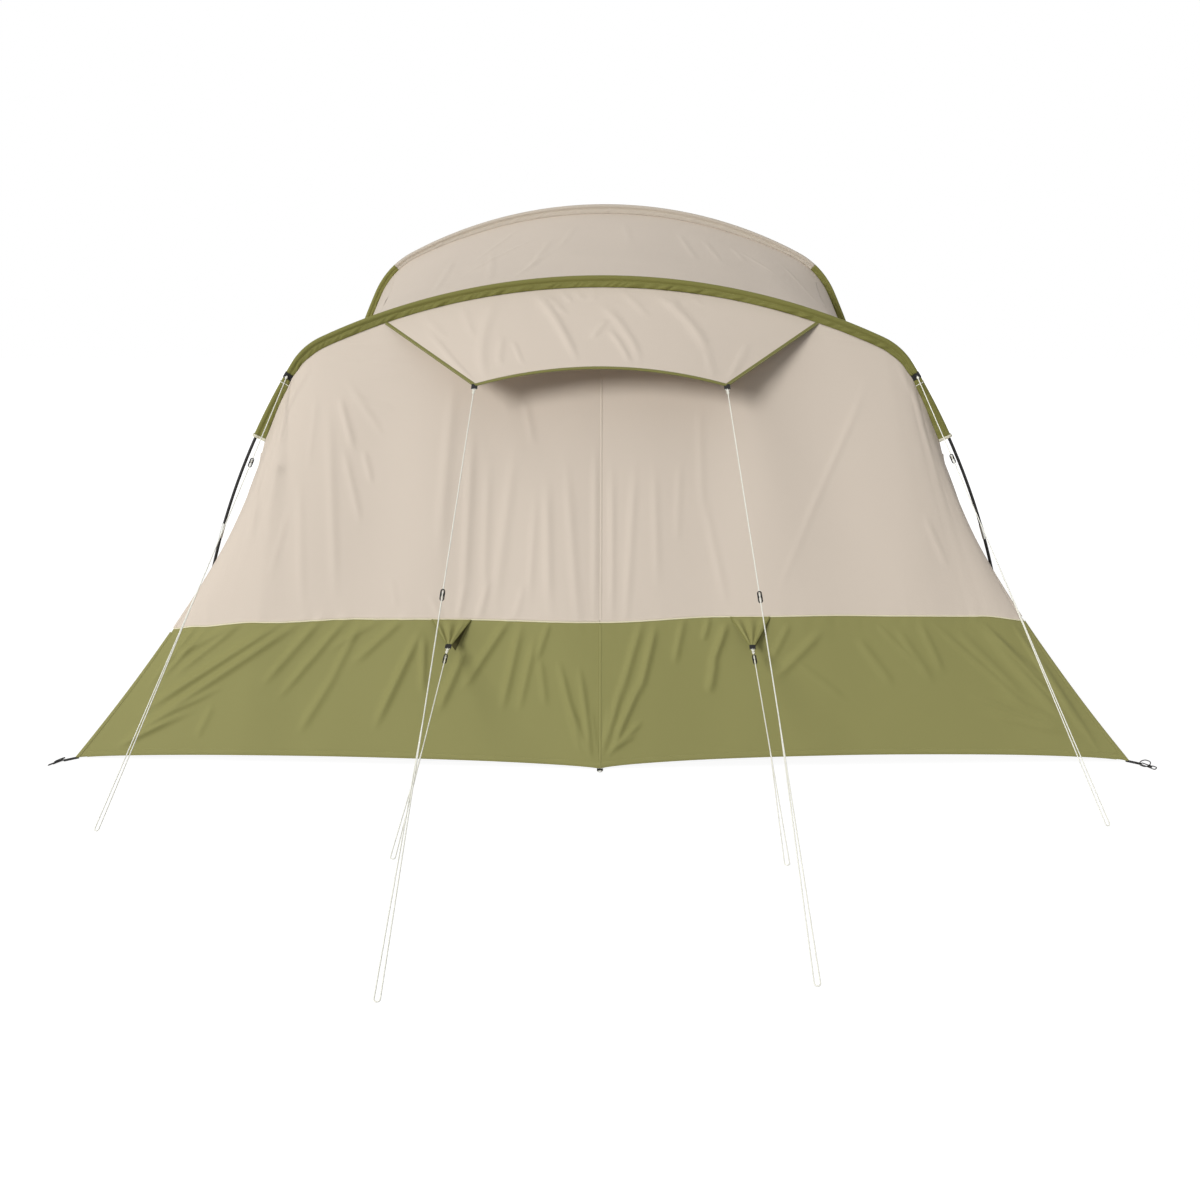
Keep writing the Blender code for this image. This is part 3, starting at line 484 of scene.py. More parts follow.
def steps(start, end, step):
    """Evenly spaced lengths from start to end, about a step apart."""
    count = max(2, round(abs(end - start) / step))
    return [mix(start, end, i / count) for i in range(count + 1)]


def hoop_tube(name, hoop, lengths, radius, look, slot, node, sizes=None):
    path = [hoop_point(hoop, s)[0] for s in lengths]
    return dress(name, swept(name, path, circle(radius, POLE_SIDES), sizes=sizes), look, slot, nodes=[node])


for name, hoop in HOOPS.items():
    roof_end = arcs(hoop)[0][1]
    bend_end = roof_end + arcs(hoop)[1][1]
    foot = along_at_height(hoop, FOOT_HEIGHT)
    hoop_tube(f"{name}_roof_rod", hoop, steps(-roof_end, roof_end, POLE_STEP), POLE_RADIUS, pole_look,
              "black_fibreglass", f"{name}_roof_pole")
    for side_name, side in SIDES.items():
        bent = steps(side * (roof_end - ELBOW_GRIP), side * (bend_end + ELBOW_GRIP), POLE_STEP / 2)
        hoop_tube(f"{name}_bend_{side_name}", hoop, bent, ELBOW_OUTER, steel_look, "steel",
                  f"{name}_elbow_{side_name}")
        leg = steps(side * (bend_end + FIT_GAP), side * foot, POLE_STEP)
        sizes = [1.0] * len(leg) + [TIP_RADIUS / POLE_RADIUS] * 2
        leg += [side * (foot + FIT_GAP), side * (foot + TIP_LENGTH)]
        hoop_tube(f"{name}_leg_rod_{side_name}", hoop, leg, POLE_RADIUS, pole_look, "black_fibreglass",
                  f"{name}_leg_{side_name}", sizes)
middle = along_at_height(REAR, FERRULE_HEIGHT)
for side_name, side in SIDES.items():
    lengths = steps(side * (middle - FERRULE_LENGTH / 2), side * (middle + FERRULE_LENGTH / 2), POLE_STEP / 4)
    hoop_tube(f"rear_collar_{side_name}", REAR, lengths, FERRULE_OUTER, steel_look, "steel",
              f"rear_ferrule_{side_name}")


# Cloth: coated polyester taffeta about 0.2 mm thick, beige above and olive green at the foot, cut in
# panels that are sewn together and drawn tight between the hoops. It is shown a little thicker.
CLOTH_LIFT, CLOTH_SHOWN, SLEEVE_DEPTH = 0.0005, 0.0009, 0.045
# How far the cloth hangs below each pole, as (length from the apex, drop): the rear sleeve is gathered by
# the wraps of its guys, and the middle one is narrow at the shoulders
SLEEVE_DROPS = {
    "rear": [(0.0, 0.034), (0.85, 0.032), (1.10, 0.031), (1.19, 0.025), (1.235, 0.021), (1.29, 0.026),
             (1.48, 0.037), (1.54, 0.045)],
    "middle": [(0.0, 0.036), (0.6, 0.032), (1.0, 0.024), (1.4, 0.024), (1.8, 0.030), (2.2, 0.045)],
    "front": [(0.0, 0.045), (2.2, 0.045)],
}
WEAVE_PITCH, WEAVE_DEPTH, CREASE_SCALE, CREASE_DEPTH = 0.0011, 0.00006, 11.0, 0.0014
CLOTH_ROUGHNESS, CLOTH_SHEEN, CLOTH_SPECULAR, DRIFT_SCALE = 0.68, 0.02, 0.2, 1.7
BEIGE, GREEN, SLEEVE_GREEN = srgb(219, 206, 191), srgb(147, 144, 90), srgb(127, 125, 67)
# A darker copy of the fly's beige, as painted shade, for the sleeve tops that cross the roof
SHADED_ROOF_BEIGE = srgb(198, 188, 174)


def from_table(table, place):
    """Value at a place between the rows of a table, with soft changes."""
    for (x0, y0), (x1, y1) in zip(table, table[1:]):
        if place <= x1:
            share = max(0.0, (place - x0) / (x1 - x0))
            return mix(y0, y1, share * share * (3 - 2 * share))
    return table[-1][1]


def sleeve_drop(hoop, along):
    name = next(key for key, value in HOOPS.items() if value is hoop)
    return from_table(SLEEVE_DROPS[name], abs(along))


def cloth_edge(hoop, along):
    """Where the cloth meets the foot of a hoop's sleeve."""
    return hoop_point(hoop, along, sleeve_drop(hoop, along))[0]


def weave(tree, axes, pitch):
    """Height of a plain weave with threads along both axes."""
    return crossed_waves(tree, *[math_node(tree, "MULTIPLY", axis, math.tau / pitch) for axis in axes])


def cloth_look(name, colour, spread=0.035):
    """A plain weave with a faint crumple and a soft sheen."""
    look, tree, shader = new_material(name, colour, CLOTH_ROUGHNESS)
    shader.inputs["Sheen Weight"].default_value = CLOTH_SHEEN
    shader.inputs["Specular IOR Level"].default_value = CLOTH_SPECULAR
    uneven(tree, shader, colour, spread, DRIFT_SCALE, (1.0, 1.0, 0.6))
    crumple = add_node(tree, "TexNoise", {"Vector": add_node(tree, "TexCoord").outputs["Object"],
                                          "Scale": CREASE_SCALE, "Detail": 4.0, "Roughness": 0.45})
    soft = bump(tree, shader, crumple.outputs["Fac"], CREASE_DEPTH)
    bump(tree, shader, weave(tree, uv_axes(tree), WEAVE_PITCH), WEAVE_DEPTH, soft)
    return look


beige_look = cloth_look("beige_taffeta", BEIGE)
green_look = cloth_look("green_taffeta", GREEN)
sleeve_look = cloth_look("sleeve_taffeta", SLEEVE_GREEN, 0.06)
shaded_sleeve_top_look = cloth_look("sleeve_top_taffeta_painted_shade", SHADED_ROOF_BEIGE)


def grid_sizes(points, columns, rows):
    """Lengths along the middle row and column of a grid of points, and its largest width and height."""
    def runs(line):
        total = [0.0]
        for a, b in zip(line, line[1:]):
            total.append(total[-1] + (b - a).length)
        return total

    across = [runs(points[j * (columns + 1):(j + 1) * (columns + 1)]) for j in range(rows + 1)]
    down = [runs(points[i::columns + 1]) for i in range(columns + 1)]
    widest, longest = max(r[-1] for r in across), max(r[-1] for r in down)
    return across[rows // 2], down[columns // 2], (widest, longest)


def laid_mesh(name, surface, columns, rows, inside):
    """A sheet over surface(u, v), with a UV map in metres, its faces turned away from a point."""
    points = [surface(i / columns, j / rows) for j in range(rows + 1) for i in range(columns + 1)]
    width = columns + 1
    across, down, flat = grid_sizes(points, columns, rows)
    quads = [(j * width + i, j * width + i + 1, (j + 1) * width + i + 1, (j + 1) * width + i)
             for j in range(rows) for i in range(columns)]
    a, b, c, _ = quads[len(quads) // 2 + columns // 2]
    if (points[b] - points[a]).cross(points[c] - points[a]).dot(points[a] - inside) < 0:
        quads = [quad[::-1] for quad in quads]
    mesh = bpy.data.meshes.new(name)
    mesh.from_pydata(points, [], quads)
    uvs = []
    for quad in quads:
        for k in quad:
            uvs += [across[k % width], down[k // width]]
    mesh.uv_layers.new(name="metres").data.foreach_set("uv", uvs)
    mesh.shade_smooth()
    return mesh, flat


def thickened(made, thickness=CLOTH_SHOWN):
    shell = made.modifiers.new("thickness", "SOLIDIFY")
    shell.thickness, shell.offset = thickness, 1.0
    return made


INSIDE = Vector((0, MIDDLE_Y - 0.9, 0.7))


def stretched_cloth(name, surface, columns, rows, look, slot, nodes, body="tent", inside=INSIDE):
    """A sewn panel as a sheet of cloth."""
    mesh, flat = laid_mesh(name, surface, columns, rows, inside)
    area = sum(face.area for face in mesh.polygons)
    made = thickened(dress(name, mesh, look, slot, body, nodes))


# Rear end: two beige halves and two green ones below them, sewn up the middle. They hang from the rear
# hoop and lean out to pegs at the corners and the centre of the hem, with long soft folds between.
SEAM_HEIGHT, HEM_HEIGHT = 0.482, 0.0018
HEM_ARCH = {-1: 0.023, 1: 0.034}
# Rise of the colour seam over its mean height, from the centre seam to the ridge of each side
SEAM_RISE = {
    -1: [(0.0, 0.0), (0.35, 0.004), (0.48, 0.0), (0.71, -0.018), (0.88, -0.039), (1.0, -0.054)],
    1: [(0.0, 0.0), (0.24, 0.015), (0.43, 0.016), (0.62, 0.012), (0.81, 0.004), (1.0, -0.019)],
}
REAR_LEAN, CORNER_LEAN, CORNER_X = 0.54, 0.445, 1.85
RIDGE_ALONG, RIDGE_TOP, RIDGE_HOLLOW = 1.53859, 1.03329, 0.4
FOLD_DEPTH, FOLDS = 0.006, 7
REAR_OUT = Vector((0, -0.95, 0.31))


def side_of(x):
    return 1 if x >= 0 else -1


def seam_height(u):
    return SEAM_HEIGHT + from_table(SEAM_RISE[side_of(u)], abs(u))


def rear_top(u):
    """Top edge on the rear hoop: 0 is the apex, 1 and -1 the tops of the ridges to the corners."""
    return cloth_edge(REAR, u * RIDGE_ALONG)


def rear_point(u, height):
    top = rear_top(u)
    share = min(1.0, max(0.0, (top.z - height) / top.z))
    x = mix(top.x, u * CORNER_X, share ** (1 + RIDGE_HOLLOW * u ** 4))
    y = REAR_Y - share * mix(REAR_LEAN, CORNER_LEAN, abs(u))
    fold = FOLD_DEPTH * math.sin(math.pi * share) * math.sin(math.pi * FOLDS * abs(u)) * (1 - u ** 4)
    return Vector((x, y - fold, height))


def rear_at(x, height):
    u = halved(lambda share: rear_point(share, height).x < abs(x), 0.0, 1.0)
    place = rear_point(u, height)
    return Vector((math.copysign(place.x, x), place.y, place.z))


def seam_height_at(x):
    """Height of the colour seam above a distance from the middle."""
    u = halved(lambda share: rear_point(share, SEAM_HEIGHT).x < abs(x), 0.0, 1.0)
    return seam_height(math.copysign(u, x))


# Folds that start at the hood's corners, the vents, the shoulders and the pegs: both ends as (x, height),
# then half width and depth
REAR_FOLDS = [
    (-0.94, 1.23, -0.89, 1.07, 0.013, 0.0042), (-0.92, 1.05, -0.86, 0.82, 0.013, 0.0030),
    (-0.85, 1.05, -0.82, 0.95, 0.011, 0.0028), (-0.91, 1.29, -0.79, 1.12, 0.013, 0.0024),
    (-0.89, 1.24, -0.75, 1.20, 0.012, 0.0020), (-1.06, 1.35, -1.16, 1.18, 0.012, 0.0022),
    (-1.11, 1.30, -1.18, 1.06, 0.012, 0.0026), (-1.24, 1.04, -1.26, 0.76, 0.016, 0.0040),
    (-0.98, 1.17, -0.94, 0.58, 0.018, 0.0030), (-1.08, 0.94, -1.06, 0.53, 0.016, 0.0020),
    (-1.12, 0.84, -1.18, 0.62, 0.014, 0.0022), (-1.03, 1.23, -1.05, 1.01, 0.012, 0.0016),
    (-0.53, 1.27, -0.57, 0.72, 0.022, 0.0036), (-0.46, 1.10, -0.48, 0.56, 0.017, 0.0040),
    (-0.40, 1.00, -0.41, 0.54, 0.016, 0.0026), (-0.27, 1.22, -0.24, 1.09, 0.014, 0.0022),
    (-0.19, 0.94, -0.18, 0.54, 0.017, 0.0040), (-0.23, 0.89, -0.25, 0.56, 0.014, 0.0024),
    (-0.31, 1.03, -0.37, 0.54, 0.020, 0.0032), (-0.12, 0.99, -0.08, 0.50, 0.016, 0.0030),
    (-0.02, 1.05, -0.02, 0.51, 0.012, 0.0026), (0.04, 0.99, 0.04, 0.51, 0.012, 0.0028),
    (-0.43, 0.49, -0.39, 0.62, 0.013, 0.0026), (-0.50, 0.49, -0.48, 0.60, 0.012, 0.0024),
    (-0.56, 0.49, -0.60, 0.57, 0.012, 0.0018), (-0.30, 0.49, -0.27, 0.60, 0.013, 0.0022),
    (-0.96, 1.43, -0.70, 1.42, 0.009, 0.0018), (-0.99, 1.39, -0.69, 1.36, 0.010, 0.0020),
    (-0.87, 1.32, -0.69, 1.31, 0.010, 0.0018), (-0.85, 1.36, -0.73, 1.34, 0.009, 0.0014),
    (-0.74, 0.62, -0.72, 0.53, 0.011, 0.0012), (0.12, 0.99, 0.09, 0.50, 0.014, 0.0026),
    (0.19, 0.98, 0.20, 0.62, 0.014, 0.0020), (0.35, 1.20, 0.36, 0.86, 0.014, 0.0016),
    (0.37, 0.87, 0.44, 0.55, 0.014, 0.0020), (0.28, 1.01, 0.27, 0.76, 0.013, 0.0016),
    (0.95, 1.28, 0.79, 0.94, 0.014, 0.0012), (0.79, 0.94, 0.63, 0.59, 0.015, 0.0013),
    (0.92, 1.20, 0.72, 0.80, 0.013, 0.0010), (1.08, 1.35, 1.20, 1.12, 0.013, 0.0020),
    (1.20, 1.12, 1.32, 0.80, 0.014, 0.0028), (1.12, 1.28, 1.23, 0.94, 0.013, 0.0020),
    (1.24, 1.00, 1.38, 0.66, 0.015, 0.0026), (0.79, 1.48, 0.94, 1.47, 0.009, 0.0018),
    (0.82, 1.45, 1.00, 1.43, 0.009, 0.0016), (1.16, 0.82, 1.23, 0.66, 0.013, 0.0020),
    (-1.14, 0.46, -1.60, 0.17, 0.013, 0.0052), (-1.08, 0.46, -1.58, 0.13, 0.013, 0.0048),
    (-1.29, 0.46, -1.52, 0.34, 0.012, 0.0030), (-0.99, 0.48, -1.18, 0.27, 0.014, 0.0036),
    (-0.90, 0.48, -1.12, 0.23, 0.013, 0.0034), (-0.85, 0.46, -0.94, 0.29, 0.013, 0.0026),
    (-0.93, 0.30, -1.05, 0.11, 0.015, 0.0030), (-0.69, 0.49, -0.86, 0.34, 0.013, 0.0034),
    (-0.64, 0.43, -0.78, 0.14, 0.014, 0.0048), (-0.62, 0.42, -0.62, 0.25, 0.012, 0.0040),
    (-0.78, 0.48, -0.95, 0.38, 0.012, 0.0022), (-0.48, 0.37, -0.56, 0.19, 0.014, 0.0044),
    (-0.32, 0.49, -0.47, 0.27, 0.014, 0.0046), (-0.28, 0.46, -0.34, 0.20, 0.014, 0.0038),
    (-0.23, 0.42, -0.28, 0.20, 0.012, 0.0028), (-0.18, 0.48, -0.22, 0.36, 0.011, 0.0030),
    (-0.21, 0.35, -0.19, 0.21, 0.012, 0.0024), (-0.14, 0.33, -0.07, 0.07, 0.011, 0.0036),
    (-0.07, 0.31, -0.03, 0.06, 0.010, 0.0034), (-0.10, 0.20, -0.04, 0.05, 0.009, 0.0024),
    (-1.37, 0.18, -1.42, 0.08, 0.013, 0.0018), (0.14, 0.47, 0.07, 0.24, 0.013, 0.0036),
    (0.07, 0.26, 0.02, 0.08, 0.011, 0.0036), (0.19, 0.46, 0.14, 0.26, 0.013, 0.0046),
    (0.14, 0.28, 0.05, 0.09, 0.012, 0.0046), (0.14, 0.15, 0.05, 0.07, 0.009, 0.0030),
    (0.12, 0.11, 0.04, 0.06, 0.008, 0.0022), (0.29, 0.49, 0.26, 0.35, 0.012, 0.0030),
    (0.38, 0.49, 0.36, 0.42, 0.010, 0.0030), (0.44, 0.47, 0.39, 0.34, 0.013, 0.0050),
    (0.40, 0.35, 0.38, 0.25, 0.014, 0.0044), (0.77, 0.44, 0.62, 0.30, 0.015, 0.0034),
    (0.66, 0.47, 0.60, 0.36, 0.012, 0.0026), (0.68, 0.35, 0.85, 0.22, 0.011, 0.0018),
    (0.91, 0.41, 1.02, 0.27, 0.014, 0.0026), (1.05, 0.44, 1.16, 0.28, 0.014, 0.0026),
    (1.13, 0.46, 1.20, 0.31, 0.013, 0.0022), (1.27, 0.43, 1.48, 0.23, 0.014, 0.0026),
    (1.36, 0.44, 1.62, 0.15, 0.015, 0.0038), (1.37, 0.16, 1.60, 0.10, 0.011, 0.0020),
    (1.42, 0.22, 1.61, 0.13, 0.011, 0.0022), (1.39, 0.42, 1.57, 0.27, 0.012, 0.0024),
    (-1.45, 0.44, -1.60, 0.25, 0.009, 0.0022), (-1.41, 0.43, -1.56, 0.27, 0.009, 0.0024),
    (-1.29, 0.45, -1.50, 0.29, 0.010, 0.0026), (-1.45, 0.16, -1.68, 0.06, 0.010, 0.0028),
    (-1.35, 0.24, -1.65, 0.09, 0.010, 0.0030), (-1.52, 0.13, -1.70, 0.04, 0.009, 0.0024),
    (-0.03, 0.19, -0.01, 0.05, 0.006, 0.0014), (-0.06, 0.15, -0.03, 0.04, 0.006, 0.0014),
    (0.03, 0.20, 0.01, 0.05, 0.006, 0.0014), (0.08, 0.13, 0.03, 0.04, 0.006, 0.0014),
    (1.48, 0.44, 1.69, 0.11, 0.009, 0.0026), (1.55, 0.35, 1.74, 0.05, 0.009, 0.0024),
    (1.37, 0.45, 1.62, 0.19, 0.009, 0.0026), (1.19, 0.45, 1.48, 0.20, 0.010, 0.0024),
    (1.31, 0.22, 1.66, 0.09, 0.010, 0.0022), (0.98, 0.46, 1.10, 0.34, 0.009, 0.0022),
]
FOLD_GAIN = [(0.42, 2.5), (0.56, 1.3)]
PUCKER_REACH, PUCKER_DEPTH, PUCKER_PITCH = 0.030, 0.0024, 26.0
SWELL_DEPTH, SWELL_ACROSS, SWELL_UP, HEM_HOLDS = 0.0040, 5.0, 1.3, 0.06


def fold_height(folds, x, y):
    """Height of all the folds at a point, each a soft ridge that fades at both ends."""
    total = 0.0
    for x0, y0, x1, y1, width, depth in folds:
        run_x, run_y = x1 - x0, y1 - y0
        length = math.hypot(run_x, run_y)
        across = ((x - x0) * run_y - (y - y0) * run_x) / length
        if abs(across) > 3 * width:
            continue
        along = ((x - x0) * run_x + (y - y0) * run_y) / length ** 2
        ends = min(1.0, (along + 0.15) / 0.4, (1.15 - along) / 0.4)
        if ends > 0:
            total += depth * math.exp(-(across / width) ** 2) * ends * ends * (3 - 2 * ends)
    return total


def puckers(x, distance):
    """Small gathers that a seam draws into the cloth beside it."""
    return PUCKER_DEPTH * noise.noise(Vector((x * PUCKER_PITCH, 0, 3))) * math.exp(-distance / PUCKER_REACH)


def rear_relief(x, height):
    """How far the cloth stands out of its smooth shape; its hem lies flat."""
    swell = SWELL_DEPTH * noise.noise(Vector((x * SWELL_ACROSS, height * SWELL_UP, 7)))
    free = min(1.0, height / HEM_HOLDS)
    gain = from_table(FOLD_GAIN, height)
    return (gain * fold_height(REAR_FOLDS, x, height) + swell) * free + puckers(x, abs(height - SEAM_HEIGHT))


def rear_skin(u, height):
    place = rear_point(u, height)
    return place + REAR_OUT * (CLOTH_LIFT + rear_relief(place.x, place.z))


def rear_hem_height(u):
    return HEM_HEIGHT + HEM_ARCH[side_of(u)] * max(0.0, 4 * abs(u) * (1 - abs(u))) ** 0.6


for side_name, side in SIDES.items():
    def panel(u, v):
        return rear_skin(side * u, mix(rear_top(u).z, seam_height(side * u), v))

    def skirt(u, v):
        return rear_skin(side * u, mix(seam_height(side * u), rear_hem_height(side * u), v))

    stretched_cloth(f"rear_cloth_{side_name}", panel, 280, 150, beige_look, "beige_cloth",
                    [f"rear_panel_{side_name}"])
    stretched_cloth(f"rear_foot_{side_name}", skirt, 280, 70, green_look, "green_cloth",
                    [f"rear_skirt_{side_name}"])


# Fly over the two bays: the roof, and on each side a beige wall and a green skirt, sewn at the shoulders
# and at the colour seam. Each bay sags a little between its hoops. The walls reach round to the ridges.
BAY_SAG, VALLEY_SHARE = [(0.0, 0.028), (0.75, 0.032), (1.15, 0.075), (1.6, 0.050), (2.1, 0.028)], 0.012
SHOULDER_LENGTHS = {"rear": 1.1181, "middle": 1.1205, "front": 1.1205}
SEAM_LENGTHS = {name: along_at_height(hoop, SEAM_HEIGHT, SLEEVE_DEPTH) for name, hoop in HOOPS.items()}
HEM_LENGTHS = {name: along_at_height(hoop, HEM_HEIGHT, SLEEVE_DEPTH) for name, hoop in HOOPS.items()}


def bay_point(back, front, length_back, length_front, share):
    a, out_a = cloth_edge(back, length_back), hoop_point(back, length_back)[1]
    b, out_b = cloth_edge(front, length_front), hoop_point(front, length_front)[1]
    place, out = a.lerp(b, share), out_a.lerp(out_b, share).normalized()
    deepest = from_table(BAY_SAG, mix(abs(length_back), abs(length_front), share))
    sag = deepest * 4 * share * (1 - share) * min(1.0, place.z / SEAM_HEIGHT)
    return place + out * (CLOTH_LIFT - sag)


def fly_point(lengths, run):
    """A point of the fly: run goes from 0 at the rear hoop through 1 at the middle one to 2 at the front."""
    if run <= 1:
        return bay_point(REAR, MIDDLE, lengths[0], lengths[1], run)
    return bay_point(MIDDLE, FRONT, lengths[1], lengths[2], run - 1)


def wall_point(side, lengths, run):
    """As fly_point, and from run 0 on to -1 out to the ridge of the rear corner."""
    if run > VALLEY_SHARE:
        return fly_point(lengths, run)
    edge = fly_point(lengths, 0.0)
    if edge.z < RIDGE_TOP:
        near_seam = min(edge.z / SEAM_HEIGHT, (RIDGE_TOP - edge.z) / (RIDGE_TOP - SEAM_HEIGHT))
        edge = rear_point(side, edge.z + (seam_height(side) - SEAM_HEIGHT) * near_seam)
    return fly_point(lengths, VALLEY_SHARE).lerp(edge, (VALLEY_SHARE - run) / (1 + VALLEY_SHARE))


# Creases of the rear bay's roof: both ends as (metres across, metres behind the rear hoop), half width, depth
ROOF_FOLDS = [
    (-0.72, 1.26, -0.71, 0.56, 0.016, 0.0040), (-0.52, 1.22, -0.46, 0.47, 0.015, 0.0034),
    (-0.34, 1.30, -0.60, 0.83, 0.015, 0.0044), (-0.25, 1.22, -0.31, 0.59, 0.014, 0.0036),
    (-0.25, 0.90, -0.35, 0.45, 0.014, 0.0034), (-0.43, 1.62, -0.58, 1.13, 0.013, 0.0034),
    (0.36, 1.46, 0.41, 0.94, 0.014, 0.0030), (0.62, 1.42, 0.66, 1.17, 0.013, 0.0028),
    (0.65, 1.39, 0.80, 1.13, 0.013, 0.0030), (0.48, 1.42, 0.53, 0.99, 0.014, 0.0028),
    (0.88, 1.46, 1.03, 0.95, 0.014, 0.0034), (-1.00, 1.80, -1.05, 1.01, 0.014, 0.0034),
    (-0.14, 1.50, -0.20, 1.02, 0.013, 0.0026), (0.10, 1.55, 0.12, 1.10, 0.014, 0.0020),
]
SEAM_HOLDS, ROOF_SWELL, ROOF_SWELL_ACROSS, ROOF_SWELL_ALONG = 12, 0.004, 3.5, 1.2


def roof_surface(u, v):
    """The roof, held flat at its edges and along the middle hoop."""
    lengths = [(2 * u - 1) * length for length in SHOULDER_LENGTHS.values()]
    place = fly_point(lengths, 2 * v)
    across, along = (2 * u - 1) * SHOULDER_LENGTHS["rear"], place.y - REAR_Y
    held = min(1.0, SEAM_HOLDS * min(abs(v), abs(v - 0.5), 1 - v, u, 1 - u))
    swell = ROOF_SWELL * noise.noise(Vector((across * ROOF_SWELL_ACROSS, along * ROOF_SWELL_ALONG, 17)))
    return place + UP * held * (fold_height(ROOF_FOLDS, across, along) + swell)


stretched_cloth("roof_cloth", roof_surface, 210, 190, beige_look, "beige_cloth", ["roof"])


WALL_SEED, HOOP_CREASES, SEAM_CREASES = 11, 4, 34
WALL_SWELL, WALL_SWELL_ALONG, WALL_SWELL_UP = 0.007, 4.5, 1.6
AT_REAR_HOOP, AT_MIDDLE_HOOP, HOOPS_HOLD, FOOT_HOLDS = 0.34, 0.667, 15, 0.1


def wall_creases(side):
    """Creases of one side, from the shoulders and off the seam: (y, height) ends, half width, depth."""
    draw = random.Random(WALL_SEED + side)
    creases = []
    for hoop in (REAR, MIDDLE, MIDDLE, FRONT):
        for _ in range(HOOP_CREASES):
            way = {REAR.y: 1, FRONT.y: -1}.get(hoop.y, draw.choice((-1, 1)))
            y, z = hoop.y + way * draw.uniform(0.03, 0.10), draw.uniform(0.95, 1.55)
            creases.append((y, z, y + way * draw.uniform(0.15, 0.50), z - draw.uniform(0.25, 0.65),
                            draw.uniform(0.012, 0.018), draw.uniform(0.002, 0.005)))
    for _ in range(SEAM_CREASES):
        y, up = draw.uniform(REAR_Y + 0.1, FRONT_Y - 0.1), draw.choice((-1, 1))
        creases.append((y, SEAM_HEIGHT + 0.01 * up, y + draw.uniform(-0.16, 0.16),
                        SEAM_HEIGHT + up * draw.uniform(0.12, 0.36), draw.uniform(0.010, 0.017),
                        draw.uniform(0.0015, 0.004)))
    return creases


creases_of = {side: wall_creases(side) for side in SIDES.values()}


def wall_part(side, starts, ends):
    """The strip of one side between two sets of lengths down the hoops."""
    def surface(u, v):
        lengths = [side * mix(a, b, u) for a, b in zip(starts.values(), ends.values())]
        place = wall_point(side, lengths, mix(-1.0, 2.0, v))
        held = min(1.0, HOOPS_HOLD * (v - AT_REAR_HOOP), HOOPS_HOLD * abs(v - AT_MIDDLE_HOOP),
                   SEAM_HOLDS * (1 - v), place.z / FOOT_HOLDS)
        waves = Vector((place.y * WALL_SWELL_ALONG, place.z * WALL_SWELL_UP, 23 * side))
        relief = WALL_SWELL * noise.noise(waves) + fold_height(creases_of[side], place.y, place.z)
        return place + Vector((side, 0, 0)) * max(0.0, held) * relief
    return surface


for side_name, side in SIDES.items():
    wall, foot = wall_part(side, SHOULDER_LENGTHS, SEAM_LENGTHS), wall_part(side, SEAM_LENGTHS, HEM_LENGTHS)
    stretched_cloth(f"wall_cloth_{side_name}", wall, 90, 360, beige_look, "beige_cloth",
                    [f"side_wall_{side_name}"])
    stretched_cloth(f"wall_foot_{side_name}", foot, 40, 360, green_look, "green_cloth",
                    [f"side_skirt_{side_name}"])


# Pole sleeves: a strip of green cloth folded over each pole and sewn to itself below it, so that it stands
# on the fly as a fin. The middle and front sleeves are beige across the roof and green down the sides; their
# beige is a darker copy of the fly's, painted shade that matches the shaded roof.
SEAT_GAP, SLEEVE_ROUND, NECK_OUT, STITCH_OUT = 0.0012, 0.0088, -0.0095, -0.0135
SEAT_HALF, FIN_HALF, NECK_SHARE, NECK_WIDENS = 0.0008, 0.0020, 0.75, 1.6
SLEEVE_STEP, SLEEVE_THICKNESS, FACE_POINTS, ARC_POINTS, ARC_TURN = 0.006, 0.0008, 9, 13, 150.0
PULL_DEPTH, ROOF_PULL, PULL_PITCH, PULL_SLANT, PULL_ACROSS = 0.0120, 0.0035, 30.0, 42.0, 12
REAR_WRAP, WRAP_WIDTH = 1.23486, 0.022
SLEEVE_END, COLOUR_CHANGE, TALL_SLEEVE_END = 1.49271, 1.09, {"middle": 2.04014, "front": 1.96276}


def sleeve_section(drop):
    """The strip's line across, as (out, along) points: up one face of the fin, round the pole, and down."""
    seat = SEAT_GAP - drop
    narrow = (seat - NECK_OUT) / (SEAT_GAP - SLEEVE_DEPTH - NECK_OUT)
    stitch = NECK_OUT + (STITCH_OUT - NECK_OUT) * narrow
    face = [(mix(seat, stitch, i / (FACE_POINTS - 1)), mix(-SEAT_HALF, -FIN_HALF, i / (FACE_POINTS - 1)))
            for i in range(FACE_POINTS)]
    face.append((mix(stitch, NECK_OUT, NECK_SHARE), -NECK_WIDENS * FIN_HALF))
    turns = [math.radians(mix(-ARC_TURN, ARC_TURN, i / (ARC_POINTS - 1))) for i in range(ARC_POINTS)]
    arc = [(SLEEVE_ROUND * math.cos(a), SLEEVE_ROUND * math.sin(a)) for a in turns]
    return face + arc + [(out, -along) for out, along in reversed(face)]


def sleeve(name, hoop, start, end, look, slot, node, depth=PULL_DEPTH):
    """A length of sleeve, with the slanting wrinkles its stitching draws into the fin."""
    lengths = steps(start, end, SLEEVE_STEP)
    sections = [sleeve_section(sleeve_drop(hoop, s)) for s in lengths]
    rows = len(sections[0]) - 1

    def surface(u, v):
        i, j = round(u * (len(lengths) - 1)), round(v * rows)
        s, (out, along) = lengths[i], sections[i][j]
        place, outward = hoop_point(hoop, s)
        free = math.sin(math.pi * min(1.0, min(j, rows - j) / FACE_POINTS))
        waves = Vector((s * PULL_PITCH - out * PULL_SLANT, out * PULL_ACROSS, hoop.y))
        pull = depth * free * noise.noise(waves)
        return place + outward * out + Vector((0, along + math.copysign(abs(pull), along), 0))

    mesh, _ = laid_mesh(name, surface, len(lengths) - 1, rows, hoop_point(hoop, (start + end) / 2)[0])
    return thickened(dress(name, mesh, look, slot, nodes=[node]), SLEEVE_THICKNESS)


